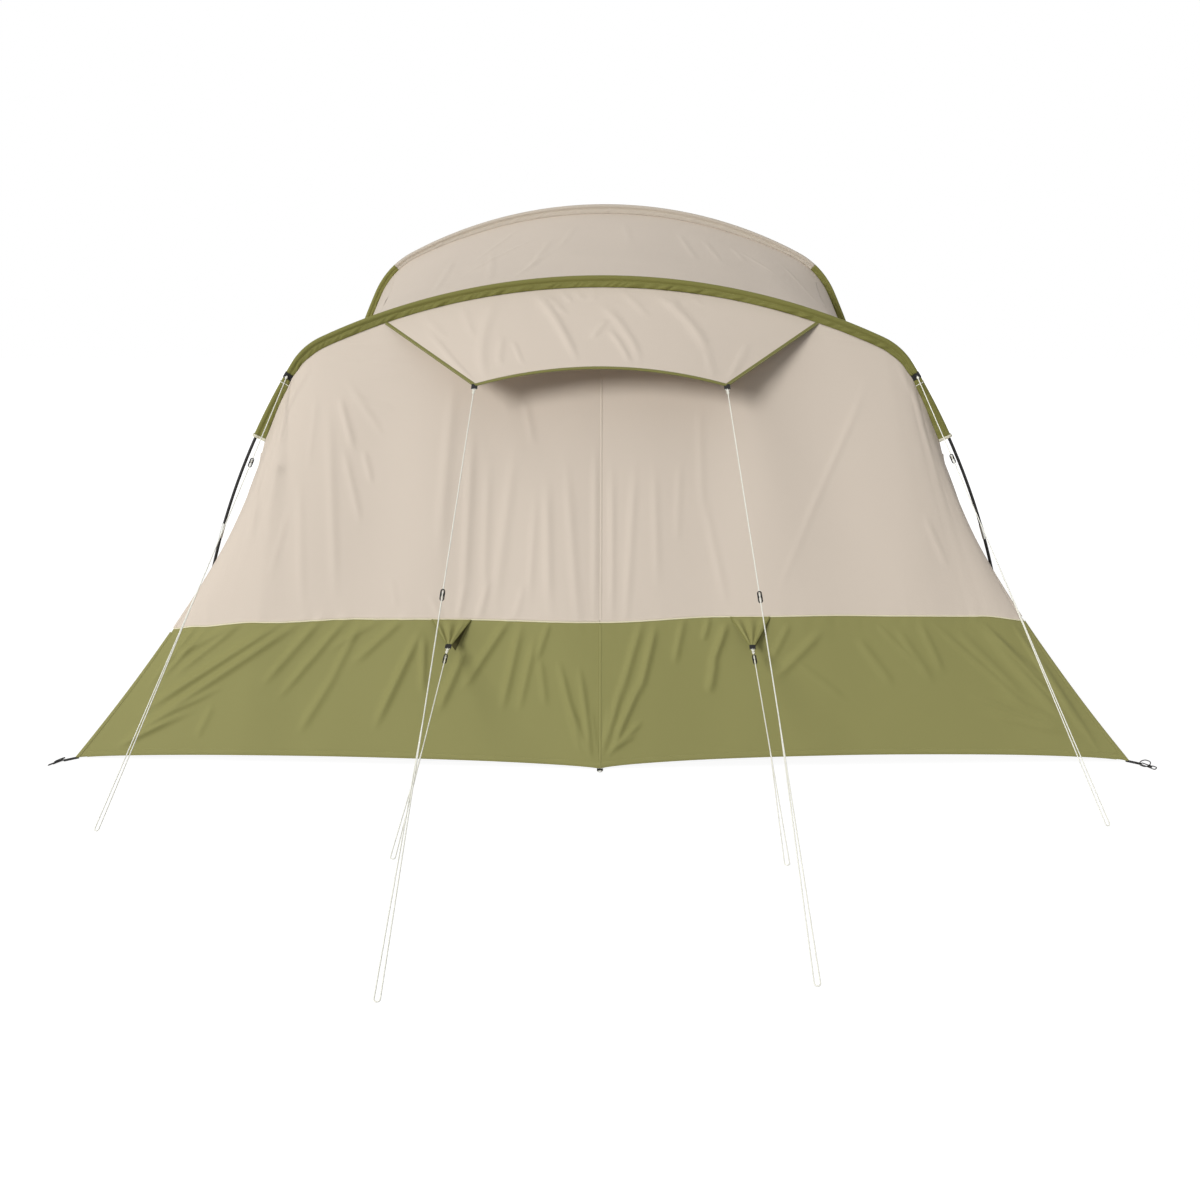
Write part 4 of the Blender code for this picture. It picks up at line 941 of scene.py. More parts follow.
half_wrap = WRAP_WIDTH / 2
sleeve("rear_sleeve_cloth", REAR, half_wrap - REAR_WRAP, REAR_WRAP - half_wrap, sleeve_look, "sleeve_green",
       "rear_sleeve_arch")
for side_name, side in SIDES.items():
    sleeve(f"rear_sleeve_end_{side_name}", REAR, side * (REAR_WRAP + half_wrap), side * SLEEVE_END,
           sleeve_look, "sleeve_green", f"rear_sleeve_lower_{side_name}")
for name, end in TALL_SLEEVE_END.items():
    sleeve(f"{name}_sleeve_top", HOOPS[name], -COLOUR_CHANGE, COLOUR_CHANGE, shaded_sleeve_top_look, "beige_cloth",
           f"{name}_sleeve", ROOF_PULL)
    for side_name, side in SIDES.items():
        sleeve(f"{name}_sleeve_side_{side_name}", HOOPS[name], side * COLOUR_CHANGE, side * end, sleeve_look,
               "sleeve_green", f"{name}_sleeve")


# Hood: a beige sheet sewn in under the rear sleeve and drawn out by two guy lines, so that it stands off
# the vent behind it. Green tape is folded over its sides and its arched hem.
HOOD_ALONG, HOOD_CORNER_X, HOOD_REACH, HOOD_HEIGHT, HOOD_RISE = 0.80294, 0.428, 0.33, 1.297, 0.058
HOOD_BACK, HOOD_SPAN, HOOD_OUT = 0.0028, (1.2, 0.45), Vector((0, -0.68, 0.73))
HOOD_SEAM_HOLDS, HOOD_HEM_HOLDS, FOLDS_AT_HEM = 6, 8, 0.25
# Its folds, as shares across and down: both ends, half width, depth
HOOD_FOLDS = [
    (0.349, 0.00, 0.408, 0.86, 0.016, 0.0060), (0.370, 0.05, 0.405, 0.34, 0.012, 0.0030),
    (0.246, 0.11, 0.061, 0.94, 0.018, 0.0048), (0.055, 0.29, 0.008, 0.97, 0.012, 0.0034),
    (0.439, 0.00, 0.454, 0.16, 0.010, 0.0022), (0.487, 0.00, 0.478, 0.18, 0.010, 0.0020),
    (0.406, 0.00, 0.425, 0.19, 0.010, 0.0024), (0.527, 0.56, 0.605, 0.92, 0.013, 0.0042),
    (0.513, 0.28, 0.641, 0.88, 0.015, 0.0042), (0.628, 0.05, 0.836, 0.67, 0.016, 0.0050),
    (0.211, 0.54, 0.140, 0.85, 0.013, 0.0036), (0.233, 0.61, 0.216, 0.88, 0.011, 0.0028),
    (0.473, 0.65, 0.515, 0.43, 0.013, 0.0036), (0.650, 0.00, 0.688, 0.19, 0.010, 0.0022),
    (0.696, 0.00, 0.744, 0.14, 0.010, 0.0020), (0.082, 0.04, 0.075, 0.38, 0.013, 0.0018),
    (0.181, 0.00, 0.139, 0.47, 0.013, 0.0022), (0.545, 0.03, 0.619, 0.35, 0.013, 0.0024),
    (0.92, 0.50, 0.985, 0.95, 0.014, 0.0026), (0.84, 0.70, 0.93, 0.96, 0.013, 0.0022),
]
TAPE_WIDTH, TAPE_HEIGHT = 0.013, 0.0026


def hood_hem(u):
    height = HOOD_HEIGHT + HOOD_RISE * (1 - (2 * u - 1) ** 2)
    return Vector((mix(-HOOD_CORNER_X, HOOD_CORNER_X, u), REAR_Y - HOOD_REACH, height))


def hood_surface(u, v):
    """The hood from its seam under the sleeve, v 0, to its hem, v 1."""
    top = cloth_edge(REAR, mix(-HOOD_ALONG, HOOD_ALONG, u)) - Vector((0, HOOD_BACK, 0))
    wide, long = HOOD_SPAN
    folds = [(a * wide, b * long, c * wide, d * long, width, depth)
             for a, b, c, d, width, depth in HOOD_FOLDS]
    held = min(1.0, HOOD_SEAM_HOLDS * v, HOOD_HEM_HOLDS * (1 - v) + FOLDS_AT_HEM)
    out = fold_height(folds, u * wide, v * long) * held
    return top.lerp(hood_hem(u), v) + HOOD_OUT * (CLOTH_LIFT + out)


def on_cloth(surface, u, v):
    """A point of a surface and the direction out of it."""
    place = surface(u, v)
    near = 0.002
    a = surface(u + near, v) - place if u < 0.5 else place - surface(u - near, v)
    b = surface(u, v + near) - place if v < 0.5 else place - surface(u, v - near)
    out = a.cross(b).normalized()
    return place, out if out.dot(place - INSIDE) > 0 else -out


def flat_tape(width, height):
    """Outline of a woven tape with softened edges, lying on its base."""
    half, soft = width / 2, height / 2
    return [(-half, 0), (half, 0), (half, soft), (half - soft, height), (-half + soft, height), (-half, soft)]


# Rows of stitches to sew, by thread: each row is a list of places and the directions out of the cloth
beige_rows, green_rows = [], []


def beside(path, ups, across, out):
    """A line moved sideways and out, with its directions out of the cloth."""
    moved = []
    for i, (place, up) in enumerate(zip(path, ups)):
        run = path[min(i + 1, len(path) - 1)] - path[max(i - 1, 0)]
        moved.append((place + run.cross(up).normalized() * across + up * out, up))
    return moved


def tape_on(name, surface, line, width, height, look, slot, rows, thread, lift=CLOTH_SHOWN):
    """A tape sewn along a line of (u, v) shares of a surface, with rows of stitches off its middle."""
    spots = [on_cloth(surface, u, v) for u, v in line]
    path, ups = [place + out * lift for place, out in spots], [out for _, out in spots]
    for across in rows:
        thread.append(beside(path, ups, across, height))
    return dress(name, swept(name, path, flat_tape(width, height), ups), look, slot)


def shares(count, start=0.0, end=1.0):
    return [mix(start, end, i / count) for i in range(count + 1)]


binding_look = cloth_look("binding_taffeta", srgb(128, 126, 72), 0.05)
stretched_cloth("hood_cloth", hood_surface, 210, 84, beige_look, "beige_cloth", ["vent_hood"])
TAPE_UNDER, BINDING_ROW = 0.0009, 0.0042
for name, line, row in (("hem", [(u, 1.0) for u in shares(80)], -BINDING_ROW),
                        ("side_left", [(0.0, v) for v in shares(30)], BINDING_ROW),
                        ("side_right", [(1.0, v) for v in shares(30)], -BINDING_ROW)):
    tape_on(f"hood_binding_{name}", hood_surface, line, TAPE_WIDTH, TAPE_HEIGHT, binding_look, "green_cloth",
            [row], beige_rows, -TAPE_UNDER)


# Low vents: a green flap over an opening in each skirt half, sewn on along the colour seam and held off
# the skirt by a guy line at its tip. Dark netting closes the opening behind it; it reaches lower than the
# opening and leans to one side, in an olive dark, as a painted shadow of the flap.
VENT_X, VENT_HALF_WIDTH, VENT_REACH, VENT_DROP, VENT_TIP_HALF = 0.524, 0.068, 0.062, 0.066, 0.008
VENT_BELOW, VENT_OUT, VENT_TAPE = 0.0004, Vector((0, -0.7, 0.7)), (0.006, 0.0022)
PLEAT_DEPTH, PLEATS, PLEATS_HELD = 0.0046, 2.4, 8
# The netting's drop below the flap, its sideways shift and its olive colour paint the flap's shadow
NET_SHARE, NET_BELOW, NET_AND_SHADOW_DROP, NET_SHADOW_SHIFT, NET_LIFT = 0.96, 0.004, 0.100, 0.016, 0.0012
NET_THICKNESS, NET_PITCH, NET_DEPTH = 0.0005, 0.004, 0.0006
net_and_shadow_look, tree, shader = new_material("netting_and_painted_shadow", srgb(88, 83, 40), 0.9)
bump(tree, shader, weave(tree, uv_axes(tree), NET_PITCH), NET_DEPTH)


def vent_surface(side):
    """A flap in pleats, from the colour seam down to the tip that its guy line draws out."""
    tip = rear_at(side * VENT_X, SEAM_HEIGHT - VENT_DROP) - Vector((0, VENT_REACH, 0))

    def surface(u, v):
        x = VENT_X + VENT_HALF_WIDTH * (2 * u - 1)
        top = rear_at(side * x, seam_height_at(side * x) - VENT_BELOW) - Vector((0, HOOD_BACK, 0))
        end = tip + Vector((side * VENT_TIP_HALF * (2 * u - 1), 0, 0))
        held = min(1.0, PLEATS_HELD * u, PLEATS_HELD * (1 - u))
        pleats = PLEAT_DEPTH * math.sin(math.pi * v) * math.sin(math.tau * PLEATS * u) * held
        return top.lerp(end, v) + VENT_OUT * (CLOTH_LIFT + pleats)
    return surface


def net_and_shadow_surface(side):
    """The netting behind a flap, on the skirt, drawn lower and shifted aside as a painted shadow of the flap.
    """
    def surface(u, v):
        x = VENT_X + VENT_HALF_WIDTH * (1 - v) * (2 * u - 1) * NET_SHARE + side * NET_SHADOW_SHIFT * v
        place = rear_at(side * x, seam_height_at(side * x) - NET_BELOW - NET_AND_SHADOW_DROP * v)
        return place + REAR_OUT * (CLOTH_LIFT + CLOTH_SHOWN + NET_LIFT + rear_relief(place.x, place.z))
    return surface


for side_name, side in SIDES.items():
    flap = vent_surface(side)
    stretched_cloth(f"vent_cloth_{side_name}", flap, 40, 24, green_look, "green_cloth",
                    [f"vent_flap_{side_name}"])
    mesh, _ = laid_mesh(f"vent_net_and_painted_shadow_{side_name}", net_and_shadow_surface(side), 20, 16, INSIDE)
    thickened(dress(f"vent_net_and_painted_shadow_{side_name}", mesh, net_and_shadow_look, "black_webbing"), NET_THICKNESS)
    for edge, u in (("inner", 0.0), ("outer", 1.0)):
        tape_on(f"vent_binding_{edge}_{side_name}", flap, [(u, v) for v in shares(16)], *VENT_TAPE,
                binding_look, "green_cloth", [0.0], green_rows, -TAPE_UNDER)


# Colour seam, centre seam, ridges and hem: pale piping where beige meets green, a felled seam up the
# middle, taped ridges to the corner pegs, and a folded hem that is stitched through. The piping's pale
# colour is partly a painted highlight along the raised edge of the seam.
# The piping is a real raised tape; its light colour is partly a painted highlight of the seam's edge
PALE_SEAM_HIGHLIGHT = srgb(236, 229, 198)
piping_highlight_look = cloth_look("piping_painted_highlight", PALE_SEAM_HIGHLIGHT, 0.03)
PIPING_WIDTH, PIPING_HEIGHT, PIPING_ROW = 0.0044, 0.0018, 0.0036
FELL_WIDTH, FELL_HEIGHT, FELL_ROWS, FELL_BESIDE = 0.009, 0.0007, (-0.0032, 0.0032), 0.0005
HEM_WIDTH, HEM_UP, HEM_ROW, HEM_END = 0.020, 0.008, 0.0085, 0.985
RIDGE_WIDTH, RIDGE_HEIGHT, RIDGE_ROWS = 0.012, 0.0012, (-0.0042, 0.0042)
WALL_EDGE, WALL_HEM = 0.9995, 0.978


def rear_surface(side):
    """All of one rear half, v 0 at the hoop and v 1 at the hem."""
    def surface(u, v):
        return rear_skin(side * u, mix(rear_top(u).z, rear_hem_height(side * u), v))
    return surface


def share_at_height(surface, u, height):
    return halved(lambda v: surface(u, v).z > height, 0.0, 1.0)


for side_name, side in SIDES.items():
    rear = rear_surface(side)
    seam = [(u, share_at_height(rear, u, seam_height(side * u))) for u in shares(200)]
    tape_on(f"seam_piping_{side_name}", rear, seam, PIPING_WIDTH, PIPING_HEIGHT, piping_highlight_look, "beige_cloth",
            [PIPING_ROW], green_rows)
    if side > 0:
        middle = [(FELL_BESIDE, v) for v in shares(120, 0.03, 1.0)]
        bend = next(i for i, place in enumerate(middle) if rear(*place).z < SEAM_HEIGHT)
        tape_on("centre_seam_beige", rear, middle[:bend], FELL_WIDTH, FELL_HEIGHT, beige_look, "beige_cloth",
                FELL_ROWS, beige_rows)
        tape_on("centre_seam_green", rear, middle[bend:], FELL_WIDTH, FELL_HEIGHT, green_look, "green_cloth",
                FELL_ROWS, green_rows)
    hem = [(u, 1.0 - HEM_UP / (rear_top(u).z - rear_hem_height(side * u)))
           for u in shares(200, 0.002, HEM_END)]
    tape_on(f"hem_{side_name}", rear, hem, HEM_WIDTH, FELL_HEIGHT, green_look, "green_cloth",
            [-side * HEM_ROW], green_rows)
    ridge = [(1.0, v) for v in shares(70)]
    for colour, look, rows, line in (
            ("beige", beige_look, beige_rows, [p for p in ridge if rear(*p).z > seam_height(side)]),
            ("green", green_look, green_rows, [p for p in ridge if rear(*p).z < seam_height(side)])):
        tape_on(f"ridge_tape_{colour}_{side_name}", rear, line, RIDGE_WIDTH, RIDGE_HEIGHT, look,
                f"{colour}_cloth", RIDGE_ROWS, rows)
    wall, foot = wall_part(side, SHOULDER_LENGTHS, SEAM_LENGTHS), wall_part(side, SEAM_LENGTHS, HEM_LENGTHS)
    tape_on(f"wall_piping_{side_name}", wall, [(WALL_EDGE, v) for v in shares(150, 0.004, 0.998)],
            PIPING_WIDTH, PIPING_HEIGHT, piping_highlight_look, "beige_cloth", [-PIPING_ROW], green_rows)
    tape_on(f"wall_hem_{side_name}", foot, [(WALL_HEM, v) for v in shares(150, 0.01, 0.998)],
            HEM_WIDTH, FELL_HEIGHT, green_look, "green_cloth", [side * HEM_ROW], green_rows)
    tape_on(f"shoulder_seam_{side_name}", wall, [(0.0, v) for v in shares(150, 0.335, 0.998)], FELL_WIDTH,
            FELL_HEIGHT, beige_look, "beige_cloth", FELL_ROWS, beige_rows)


# Front end: a flat beige panel in the front hoop with a green foot, and a door of the same cloth that is
# sewn in at its left edge and swings out on it.
FRONT_FACE, FRONT_DROP = 1.99215, 0.043
DOOR_HALF, DOOR_SPRING, DOOR_TOP, SILL = 0.60, 1.25, 1.72, 0.045
DOOR_GAP, SEWN_GAP, TIP_GAP = 0.004, 0.0004, 0.0002
FRONT_INSIDE = Vector((0, FRONT_FACE - 1.0, 0.9))


def arch_point(share, left, right, bottom, top):
    """A point of a doorway's outline: 0 at the left foot, over the arch, 1 at the right foot."""
    half, centre = (right - left) / 2, (left + right) / 2
    upright, bow = DOOR_SPRING - bottom, math.pi * (half + top - DOOR_SPRING) / 2
    run = share * (2 * upright + bow)
    if run < upright:
        return Vector((left, FRONT_FACE, bottom + run))
    if run > upright + bow:
        return Vector((right, FRONT_FACE, bottom + 2 * upright + bow - run))
    turn = math.pi * (run - upright) / bow
    height = DOOR_SPRING + (top - DOOR_SPRING) * math.sin(turn)
    return Vector((centre - half * math.cos(turn), FRONT_FACE, height))


# Creases of the front end, as (x, height) ends, half width, depth
FRONT_FOLDS = [
    (-0.95, 1.70, -0.72, 1.50, 0.014, 0.0034), (0.97, 1.68, 0.75, 1.46, 0.014, 0.0032),
    (-1.25, 1.25, -0.95, 0.92, 0.016, 0.0044), (1.22, 1.22, 0.92, 0.88, 0.016, 0.0040),
    (-0.35, 1.58, -0.45, 1.20, 0.014, 0.0034), (0.30, 1.62, 0.38, 1.12, 0.015, 0.0036),
    (0.05, 1.64, 0.02, 1.22, 0.013, 0.0026), (-0.15, 0.46, -0.25, 0.12, 0.012, 0.0034),
    (0.32, 0.44, 0.22, 0.10, 0.012, 0.0034), (-0.45, 0.44, -0.33, 0.15, 0.012, 0.0028),
    (-0.90, 0.46, -1.00, 0.10, 0.013, 0.0036), (0.85, 0.45, 0.98, 0.12, 0.013, 0.0036),
    (-1.15, 0.52, -1.08, 0.88, 0.015, 0.0036), (1.10, 0.52, 1.18, 0.90, 0.015, 0.0036),
    (-0.20, 0.52, -0.28, 0.98, 0.015, 0.0034), (0.20, 0.52, 0.12, 0.92, 0.015, 0.0034),
    (0.42, 0.52, 0.46, 0.84, 0.013, 0.0028), (-1.28, 0.42, -1.20, 0.16, 0.012, 0.0030),
]
FRONT_SWELL, FRONT_CRUMPLE, TAPES_HOLD, FREE_AT_TAPES = 0.010, 0.003, 0.08, 0.012


def front_relief(x, z):
    """How far the front end's cloth stands out; its zip, sill and colour seam hold it flat."""
    rise = max(0.0, z - DOOR_SPRING) / (DOOR_TOP - DOOR_SPRING)
    from_zip = abs(math.hypot(x / DOOR_HALF, rise) - 1) * DOOR_HALF
    free = min(1.0, (FREE_AT_TAPES + min(from_zip, abs(z - SEAM_HEIGHT), abs(z - SILL))) / TAPES_HOLD)
    folds = (FRONT_SWELL * noise.noise(Vector((x * 3.5, z * 1.2, 11)))
             + FRONT_CRUMPLE * noise.noise(Vector((x * 11, z * 3, 5))))
    return Vector((0, CLOTH_LIFT + free * (abs(folds) + fold_height(FRONT_FOLDS, x, z)), 0))


def front_outer(share, height):
    """The panel's sewn edge on the front hoop above a height: 0 left, 1 right."""
    end = along_at_height(FRONT, height, FRONT_DROP)
    return hoop_point(FRONT, mix(-end, end, share), FRONT_DROP)[0]


def relieved(place):
    return Vector((place.x, FRONT_FACE, place.z)) + front_relief(place.x, place.z)


doorway_length = 2 * (DOOR_SPRING - SILL) + math.pi * (DOOR_HALF + DOOR_TOP - DOOR_SPRING) / 2
inner_low = (SEAM_HEIGHT - SILL) / doorway_length


def front_upper(u, v):
    inner = arch_point(mix(inner_low, 1 - inner_low, u), -DOOR_HALF, DOOR_HALF, SILL, DOOR_TOP)
    return relieved(inner.lerp(front_outer(u, SEAM_HEIGHT), v))


def front_foot(side):
    def surface(u, v):
        height = mix(HEM_HEIGHT, SEAM_HEIGHT, v)
        outer = hoop_point(FRONT, side * along_at_height(FRONT, height, FRONT_DROP), FRONT_DROP)[0].x
        return relieved(Vector((mix(side * DOOR_HALF, outer, u), 0, height)))
    return surface


def front_sill(u, v):
    return relieved(Vector((mix(-DOOR_HALF, DOOR_HALF, u), 0, mix(HEM_HEIGHT, SILL, v))))


def door_width(height):
    """Left and right edge of the door at a height."""
    left, right, top = -DOOR_HALF + SEWN_GAP, DOOR_HALF - DOOR_GAP, DOOR_TOP - DOOR_GAP
    half, centre = (right - left) / 2, (left + right) / 2
    if height > DOOR_SPRING:
        half *= math.sqrt(max(0.0, 1 - ((height - DOOR_SPRING) / (top - DOOR_SPRING)) ** 2))
    return centre - half, centre + half


def door_part(low, high):
    def surface(u, v):
        height = mix(low, high, math.sin(v * math.pi / 2) if high > DOOR_SPRING else v)
        left, right = door_width(height)
        return relieved(Vector((mix(left, right, u), 0, height)))
    return surface


front_pieces = [
    ("front_cloth", front_upper, 160, 40, beige_look, "beige_cloth", "front_panel", "tent"),
    ("front_foot_left", front_foot(-1), 60, 30, green_look, "green_cloth", "front_panel", "tent"),
    ("front_foot_right", front_foot(1), 60, 30, green_look, "green_cloth", "front_panel", "tent"),
    ("front_sill", front_sill, 80, 4, green_look, "green_cloth", "front_panel", "tent"),
    ("door_cloth", door_part(SEAM_HEIGHT, DOOR_TOP - DOOR_GAP - TIP_GAP), 80, 90, beige_look, "beige_cloth",
     "front_door", "front_door"),
    ("door_foot", door_part(SILL + DOOR_GAP, SEAM_HEIGHT), 80, 34, green_look, "green_cloth",
     "front_door", "front_door"),
]
for name, surface, columns, rows, look, slot, node, body in front_pieces:
    stretched_cloth(name, surface, columns, rows, look, slot, [node], body, FRONT_INSIDE)


# Zip: black woven tapes on the frame and on the door, over the arch, down the right side and along the
# sill, with pale piping at the colour seam beside them, its pale colour partly a painted highlight. They
# end short of the door's sewn left edge, so that it can swing.
ZIP_WIDTH, ZIP_HEIGHT, ZIP_OUT, ZIP_START = 0.010, 0.0012, 0.0052, 0.325
ZIP_THREADS, THREAD_DEPTH, PIPING_OUT = 0.0012, 0.0002, 0.0045
OUTWARD = Vector((0, 1, 0))
zip_look, tree, shader = new_material("black_zip_tape", srgb(40, 38, 36), 0.8)
bump(tree, shader, weave(tree, uv_axes(tree), ZIP_THREADS), THREAD_DEPTH)


def flat_band(name, path, width, height, look, slot, body):
    """A tape on the outside of the front end, along a line of points."""
    return dress(name, swept(name, path, flat_tape(width, height), [OUTWARD] * len(path)), look, slot, body)


def zip_line(shift):
    """The zip's way over the arch and down, moved out or in by shift, just above the cloth."""
    return [arch_point(s, -DOOR_HALF - shift, DOOR_HALF + shift, SILL, DOOR_TOP + shift) + OUTWARD * ZIP_OUT
            for s in shares(150, ZIP_START)]


def sill_line(rise):
    """The zip's way along the sill, moved up by rise."""
    ends = DOOR_HALF - ZIP_WIDTH, 1.4 * ZIP_WIDTH - DOOR_HALF
    return [Vector((x, FRONT_FACE + ZIP_OUT, SILL + rise)) for x in shares(40, *ends)]


outer, inner = ZIP_WIDTH / 2, -DOOR_GAP - ZIP_WIDTH / 2
for name, line, body in (("frame", zip_line(outer), "tent"), ("door", zip_line(inner), "front_door"),
                         ("sill", sill_line(-outer), "tent"), ("door_foot", sill_line(-inner), "front_door")):
    flat_band(f"zip_tape_{name}", line, ZIP_WIDTH, ZIP_HEIGHT, zip_look, "black_webbing", body)
for name, low_x, high_x, body in (("left", -1.437, -0.606, "tent"), ("right", 0.612, 1.437, "tent"),
                                  ("door", -0.587, 0.584, "front_door")):
    path = [Vector((x, FRONT_FACE + PIPING_OUT, SEAM_HEIGHT)) for x in shares(40, low_x, high_x)]
    flat_band(f"front_piping_{name}", path, PIPING_WIDTH, PIPING_HEIGHT, piping_highlight_look, "beige_cloth", body)


# Zip slider: a moulded black body that straddles the teeth, with a bridge on its face and a pull tab that
# hangs from it. It is shown near the foot of the right side, where a closed door has it.
SLIDER = Vector((0.606, FRONT_FACE + 0.0065, 0.12))
SLIDER_SIZE, SLIDER_NOSE, SLIDER_THICKNESS, SLIDER_ROUNDING = (0.0115, 0.0095), 0.0015, 0.0038, 0.0006
BODY_UP, BRIDGE_OUT, BRIDGE_BOW, BRIDGE_HALF, BRIDGE_WIRE = 0.009, 0.0019, 0.0016, 0.0035, 0.0011
PULL_SIZE, PULL_HOLE, PULL_THICKNESS, PULL_ROUNDING = (0.019, 0.0065), (0.0042, 0.0030), 0.0012, 0.0003
PULL_HOLE_IN, PULL_PLACE = 0.0034, Vector((0, 0.0026, -0.0032))
upright = Matrix(((0, 1, 0), (0, 0, 1), (1, 0, 0))).to_4x4()
half_width, half_height = SLIDER_SIZE[0] / 2, SLIDER_SIZE[1] / 2
flank = [(-half_height, half_width * 0.7), (half_height * 0.4, half_width), (half_height, half_width * 0.8)]
shield = [(x, -y) for x, y in flank] + [(half_height + SLIDER_NOSE, 0)] + flank[::-1]
mesh = plate_mesh("slider_body", [shield], SLIDER_THICKNESS, SLIDER_ROUNDING)
mesh.transform(Matrix.Translation(SLIDER + Vector((0, 0, BODY_UP))) @ upright)
dress("slider_body", mesh, plastic_look, "black_plastic", "door_zip_slider", ["door_zip_slider"])
bridge = [SLIDER + Vector((0, BRIDGE_OUT + BRIDGE_BOW * math.sin(math.pi * s),
                           BODY_UP + BRIDGE_HALF * math.cos(math.pi * s))) for s in shares(10)]
dress("slider_bridge", swept("slider_bridge", bridge, circle(BRIDGE_WIRE, 8)), plastic_look, "black_plastic",
      "door_zip_slider")
pull_outlines = [stadium(*PULL_SIZE), stadium(*PULL_HOLE, PULL_SIZE[0] / 2 - PULL_HOLE_IN)]
mesh = plate_mesh("slider_pull", pull_outlines, PULL_THICKNESS, PULL_ROUNDING)
mesh.transform(Matrix.Translation(SLIDER + PULL_PLACE) @ upright)
dress("slider_pull", mesh, plastic_look, "black_plastic", "door_zip_slider")


# Groundsheet: grey woven polyethylene with a tail at each pole foot, where a steel eyelet takes the pole's
# tip. Its edge is turned up and sewn to the inside of the skirts, at the sides and across the rear.
SHEET_HALF, SHEET_REAR, SHEET_THICKNESS = 1.40, 0.30, 0.0015
TAIL_WIDTH, TAIL_PAST_FOOT, EYELET_RADIUS, EYELET_WIRE = 0.025, 0.022, 0.0032, 0.0011
GREY, SHEET_PITCH, SHEET_DEPTH = srgb(112, 114, 110), 0.005, 0.0003
sheet_look, tree, shader = new_material("woven_groundsheet", GREY, 0.5)
uneven(tree, shader, GREY, 0.06, 2.5)
split = add_node(tree, "SeparateXYZ", {0: add_node(tree, "TexCoord").outputs["Object"]})
bump(tree, shader, weave(tree, (split.outputs["X"], split.outputs["Y"]), SHEET_PITCH), SHEET_DEPTH)
edge, holes = [(SHEET_HALF, REAR_Y - SHEET_REAR)], []
for name, hoop in HOOPS.items():
    foot = hoop_point(hoop, along_at_height(hoop, FOOT_HEIGHT))[0].x
    tail, near, far = foot + TAIL_PAST_FOOT, hoop.y - TAIL_WIDTH / 2, hoop.y + TAIL_WIDTH / 2
    edge += [(SHEET_HALF, near), (tail, near), (tail, far), (SHEET_HALF, far)]
    for side_name, side in SIDES.items():
        holes.append([(side * foot + x, hoop.y + y) for x, y in circle(EYELET_RADIUS, 24)])
        ring = [Vector((side * foot + x, hoop.y + y, SHEET_THICKNESS))
                for x, y in circle(EYELET_RADIUS + EYELET_WIRE, 24)]
        rim = swept(f"eyelet_{name}_{side_name}", ring, circle(EYELET_WIRE, 8), [UP] * len(ring), cyclic=True)
        dress(f"eyelet_{name}_{side_name}", rim, steel_look, "steel")
edge.pop()
edge += [(-x, y) for x, y in reversed(edge)]
mesh = plate_mesh("sheet_cloth", [edge, *holes], SHEET_THICKNESS, 0.0)
mesh.transform(Matrix.Translation((0, 0, SHEET_THICKNESS / 2)))
sheet = dress("sheet_cloth", mesh, sheet_look, "groundsheet", nodes=["groundsheet"])
# The raised edge, as pairs of (place on the sheet, place on the cloth): the part behind each rear leg,
# the side, and the rear
RAISED_SHARE, RAISED_HEIGHT, RAISED_INSET, REAR_INSET, EDGE_LAP = 0.80, 0.098, 0.0022, 0.009, 0.003
edge_x, edge_height = SHEET_HALF - EDGE_LAP, SHEET_THICKNESS + CLOTH_SHOWN + 0.0004
raised = {}
for side in SIDES.values():
    foot, inset = wall_part(side, SEAM_LENGTHS, HEM_LENGTHS), Vector((side * RAISED_INSET, 0, 0))
    raised[side] = []
    for v, s in zip(shares(20, 0.03, 0.33), shares(20, 1.0, 0.0)):
        low = Vector((side * edge_x, REAR_Y - s * (SHEET_REAR - EDGE_LAP), edge_height))
        raised[side].append((low, foot(RAISED_SHARE, v) - inset))
    tops = [foot(RAISED_SHARE, v) - inset for v in shares(160, 0.3355, 0.998)]
    raised[side] += [(Vector((side * edge_x, top.y, edge_height)), top) for top in tops]
widest = rear_point(0.96, RAISED_HEIGHT).x
across_rear = [(Vector((max(-edge_x, min(edge_x, x)), REAR_Y - SHEET_REAR + EDGE_LAP, edge_height)),
                rear_at(x, RAISED_HEIGHT) + Vector((0, REAR_INSET, 0))) for x in steps(-widest, widest, 0.03)]
raised_pairs = raised[-1][::-1] + across_rear + raised[1]


def raised_edge(u, v):
    low, top = raised_pairs[round(v * (len(raised_pairs) - 1))]
    out, up = math.sin(u * math.pi / 2), 1 - math.cos(u * math.pi / 2)
    return Vector((mix(low.x, top.x, out), mix(low.y, top.y, out), mix(low.z, top.z, up)))


stretched_cloth("sheet_raised_edge", raised_edge, 8, len(raised_pairs) - 1, sheet_look, "groundsheet", [])


# Webbing: ribbed black tabs sewn in at the corners of the hood and the tips of the vents, with the guy
# lines tied to them, and black wraps and short cords that gather the rear sleeve where the side guys pull.
# The sleeve's open ends are bound with pale tape.
WEBBING, RIB_PITCH, RIB_DEPTH = srgb(30, 29, 28), 0.0018, 0.0003
webbing_look, tree, shader = new_material("black_webbing", WEBBING, 0.85)
uneven(tree, shader, WEBBING, 0.25, 70.0)
ribs = math_node(tree, "SINE", math_node(tree, "MULTIPLY", uv_axes(tree)[1], math.tau / RIB_PITCH))
bump(tree, shader, ribs, RIB_DEPTH)
TAB_WIDTH, TAB_LENGTH, SHOWN_LENGTH, STRAP_THICKNESS, STRAP_HALF = 0.021, 0.017, 0.025, 0.0009, 0.0014
TABS = {
    "hood_left": (-0.42821, -1.76588, 1.29251), "hood_right": (0.4284, -1.76575, 1.29236),
    "vent_left": (-0.52453, -1.87706, 0.41274), "vent_right": (0.52419, -1.87714, 0.41284),
}


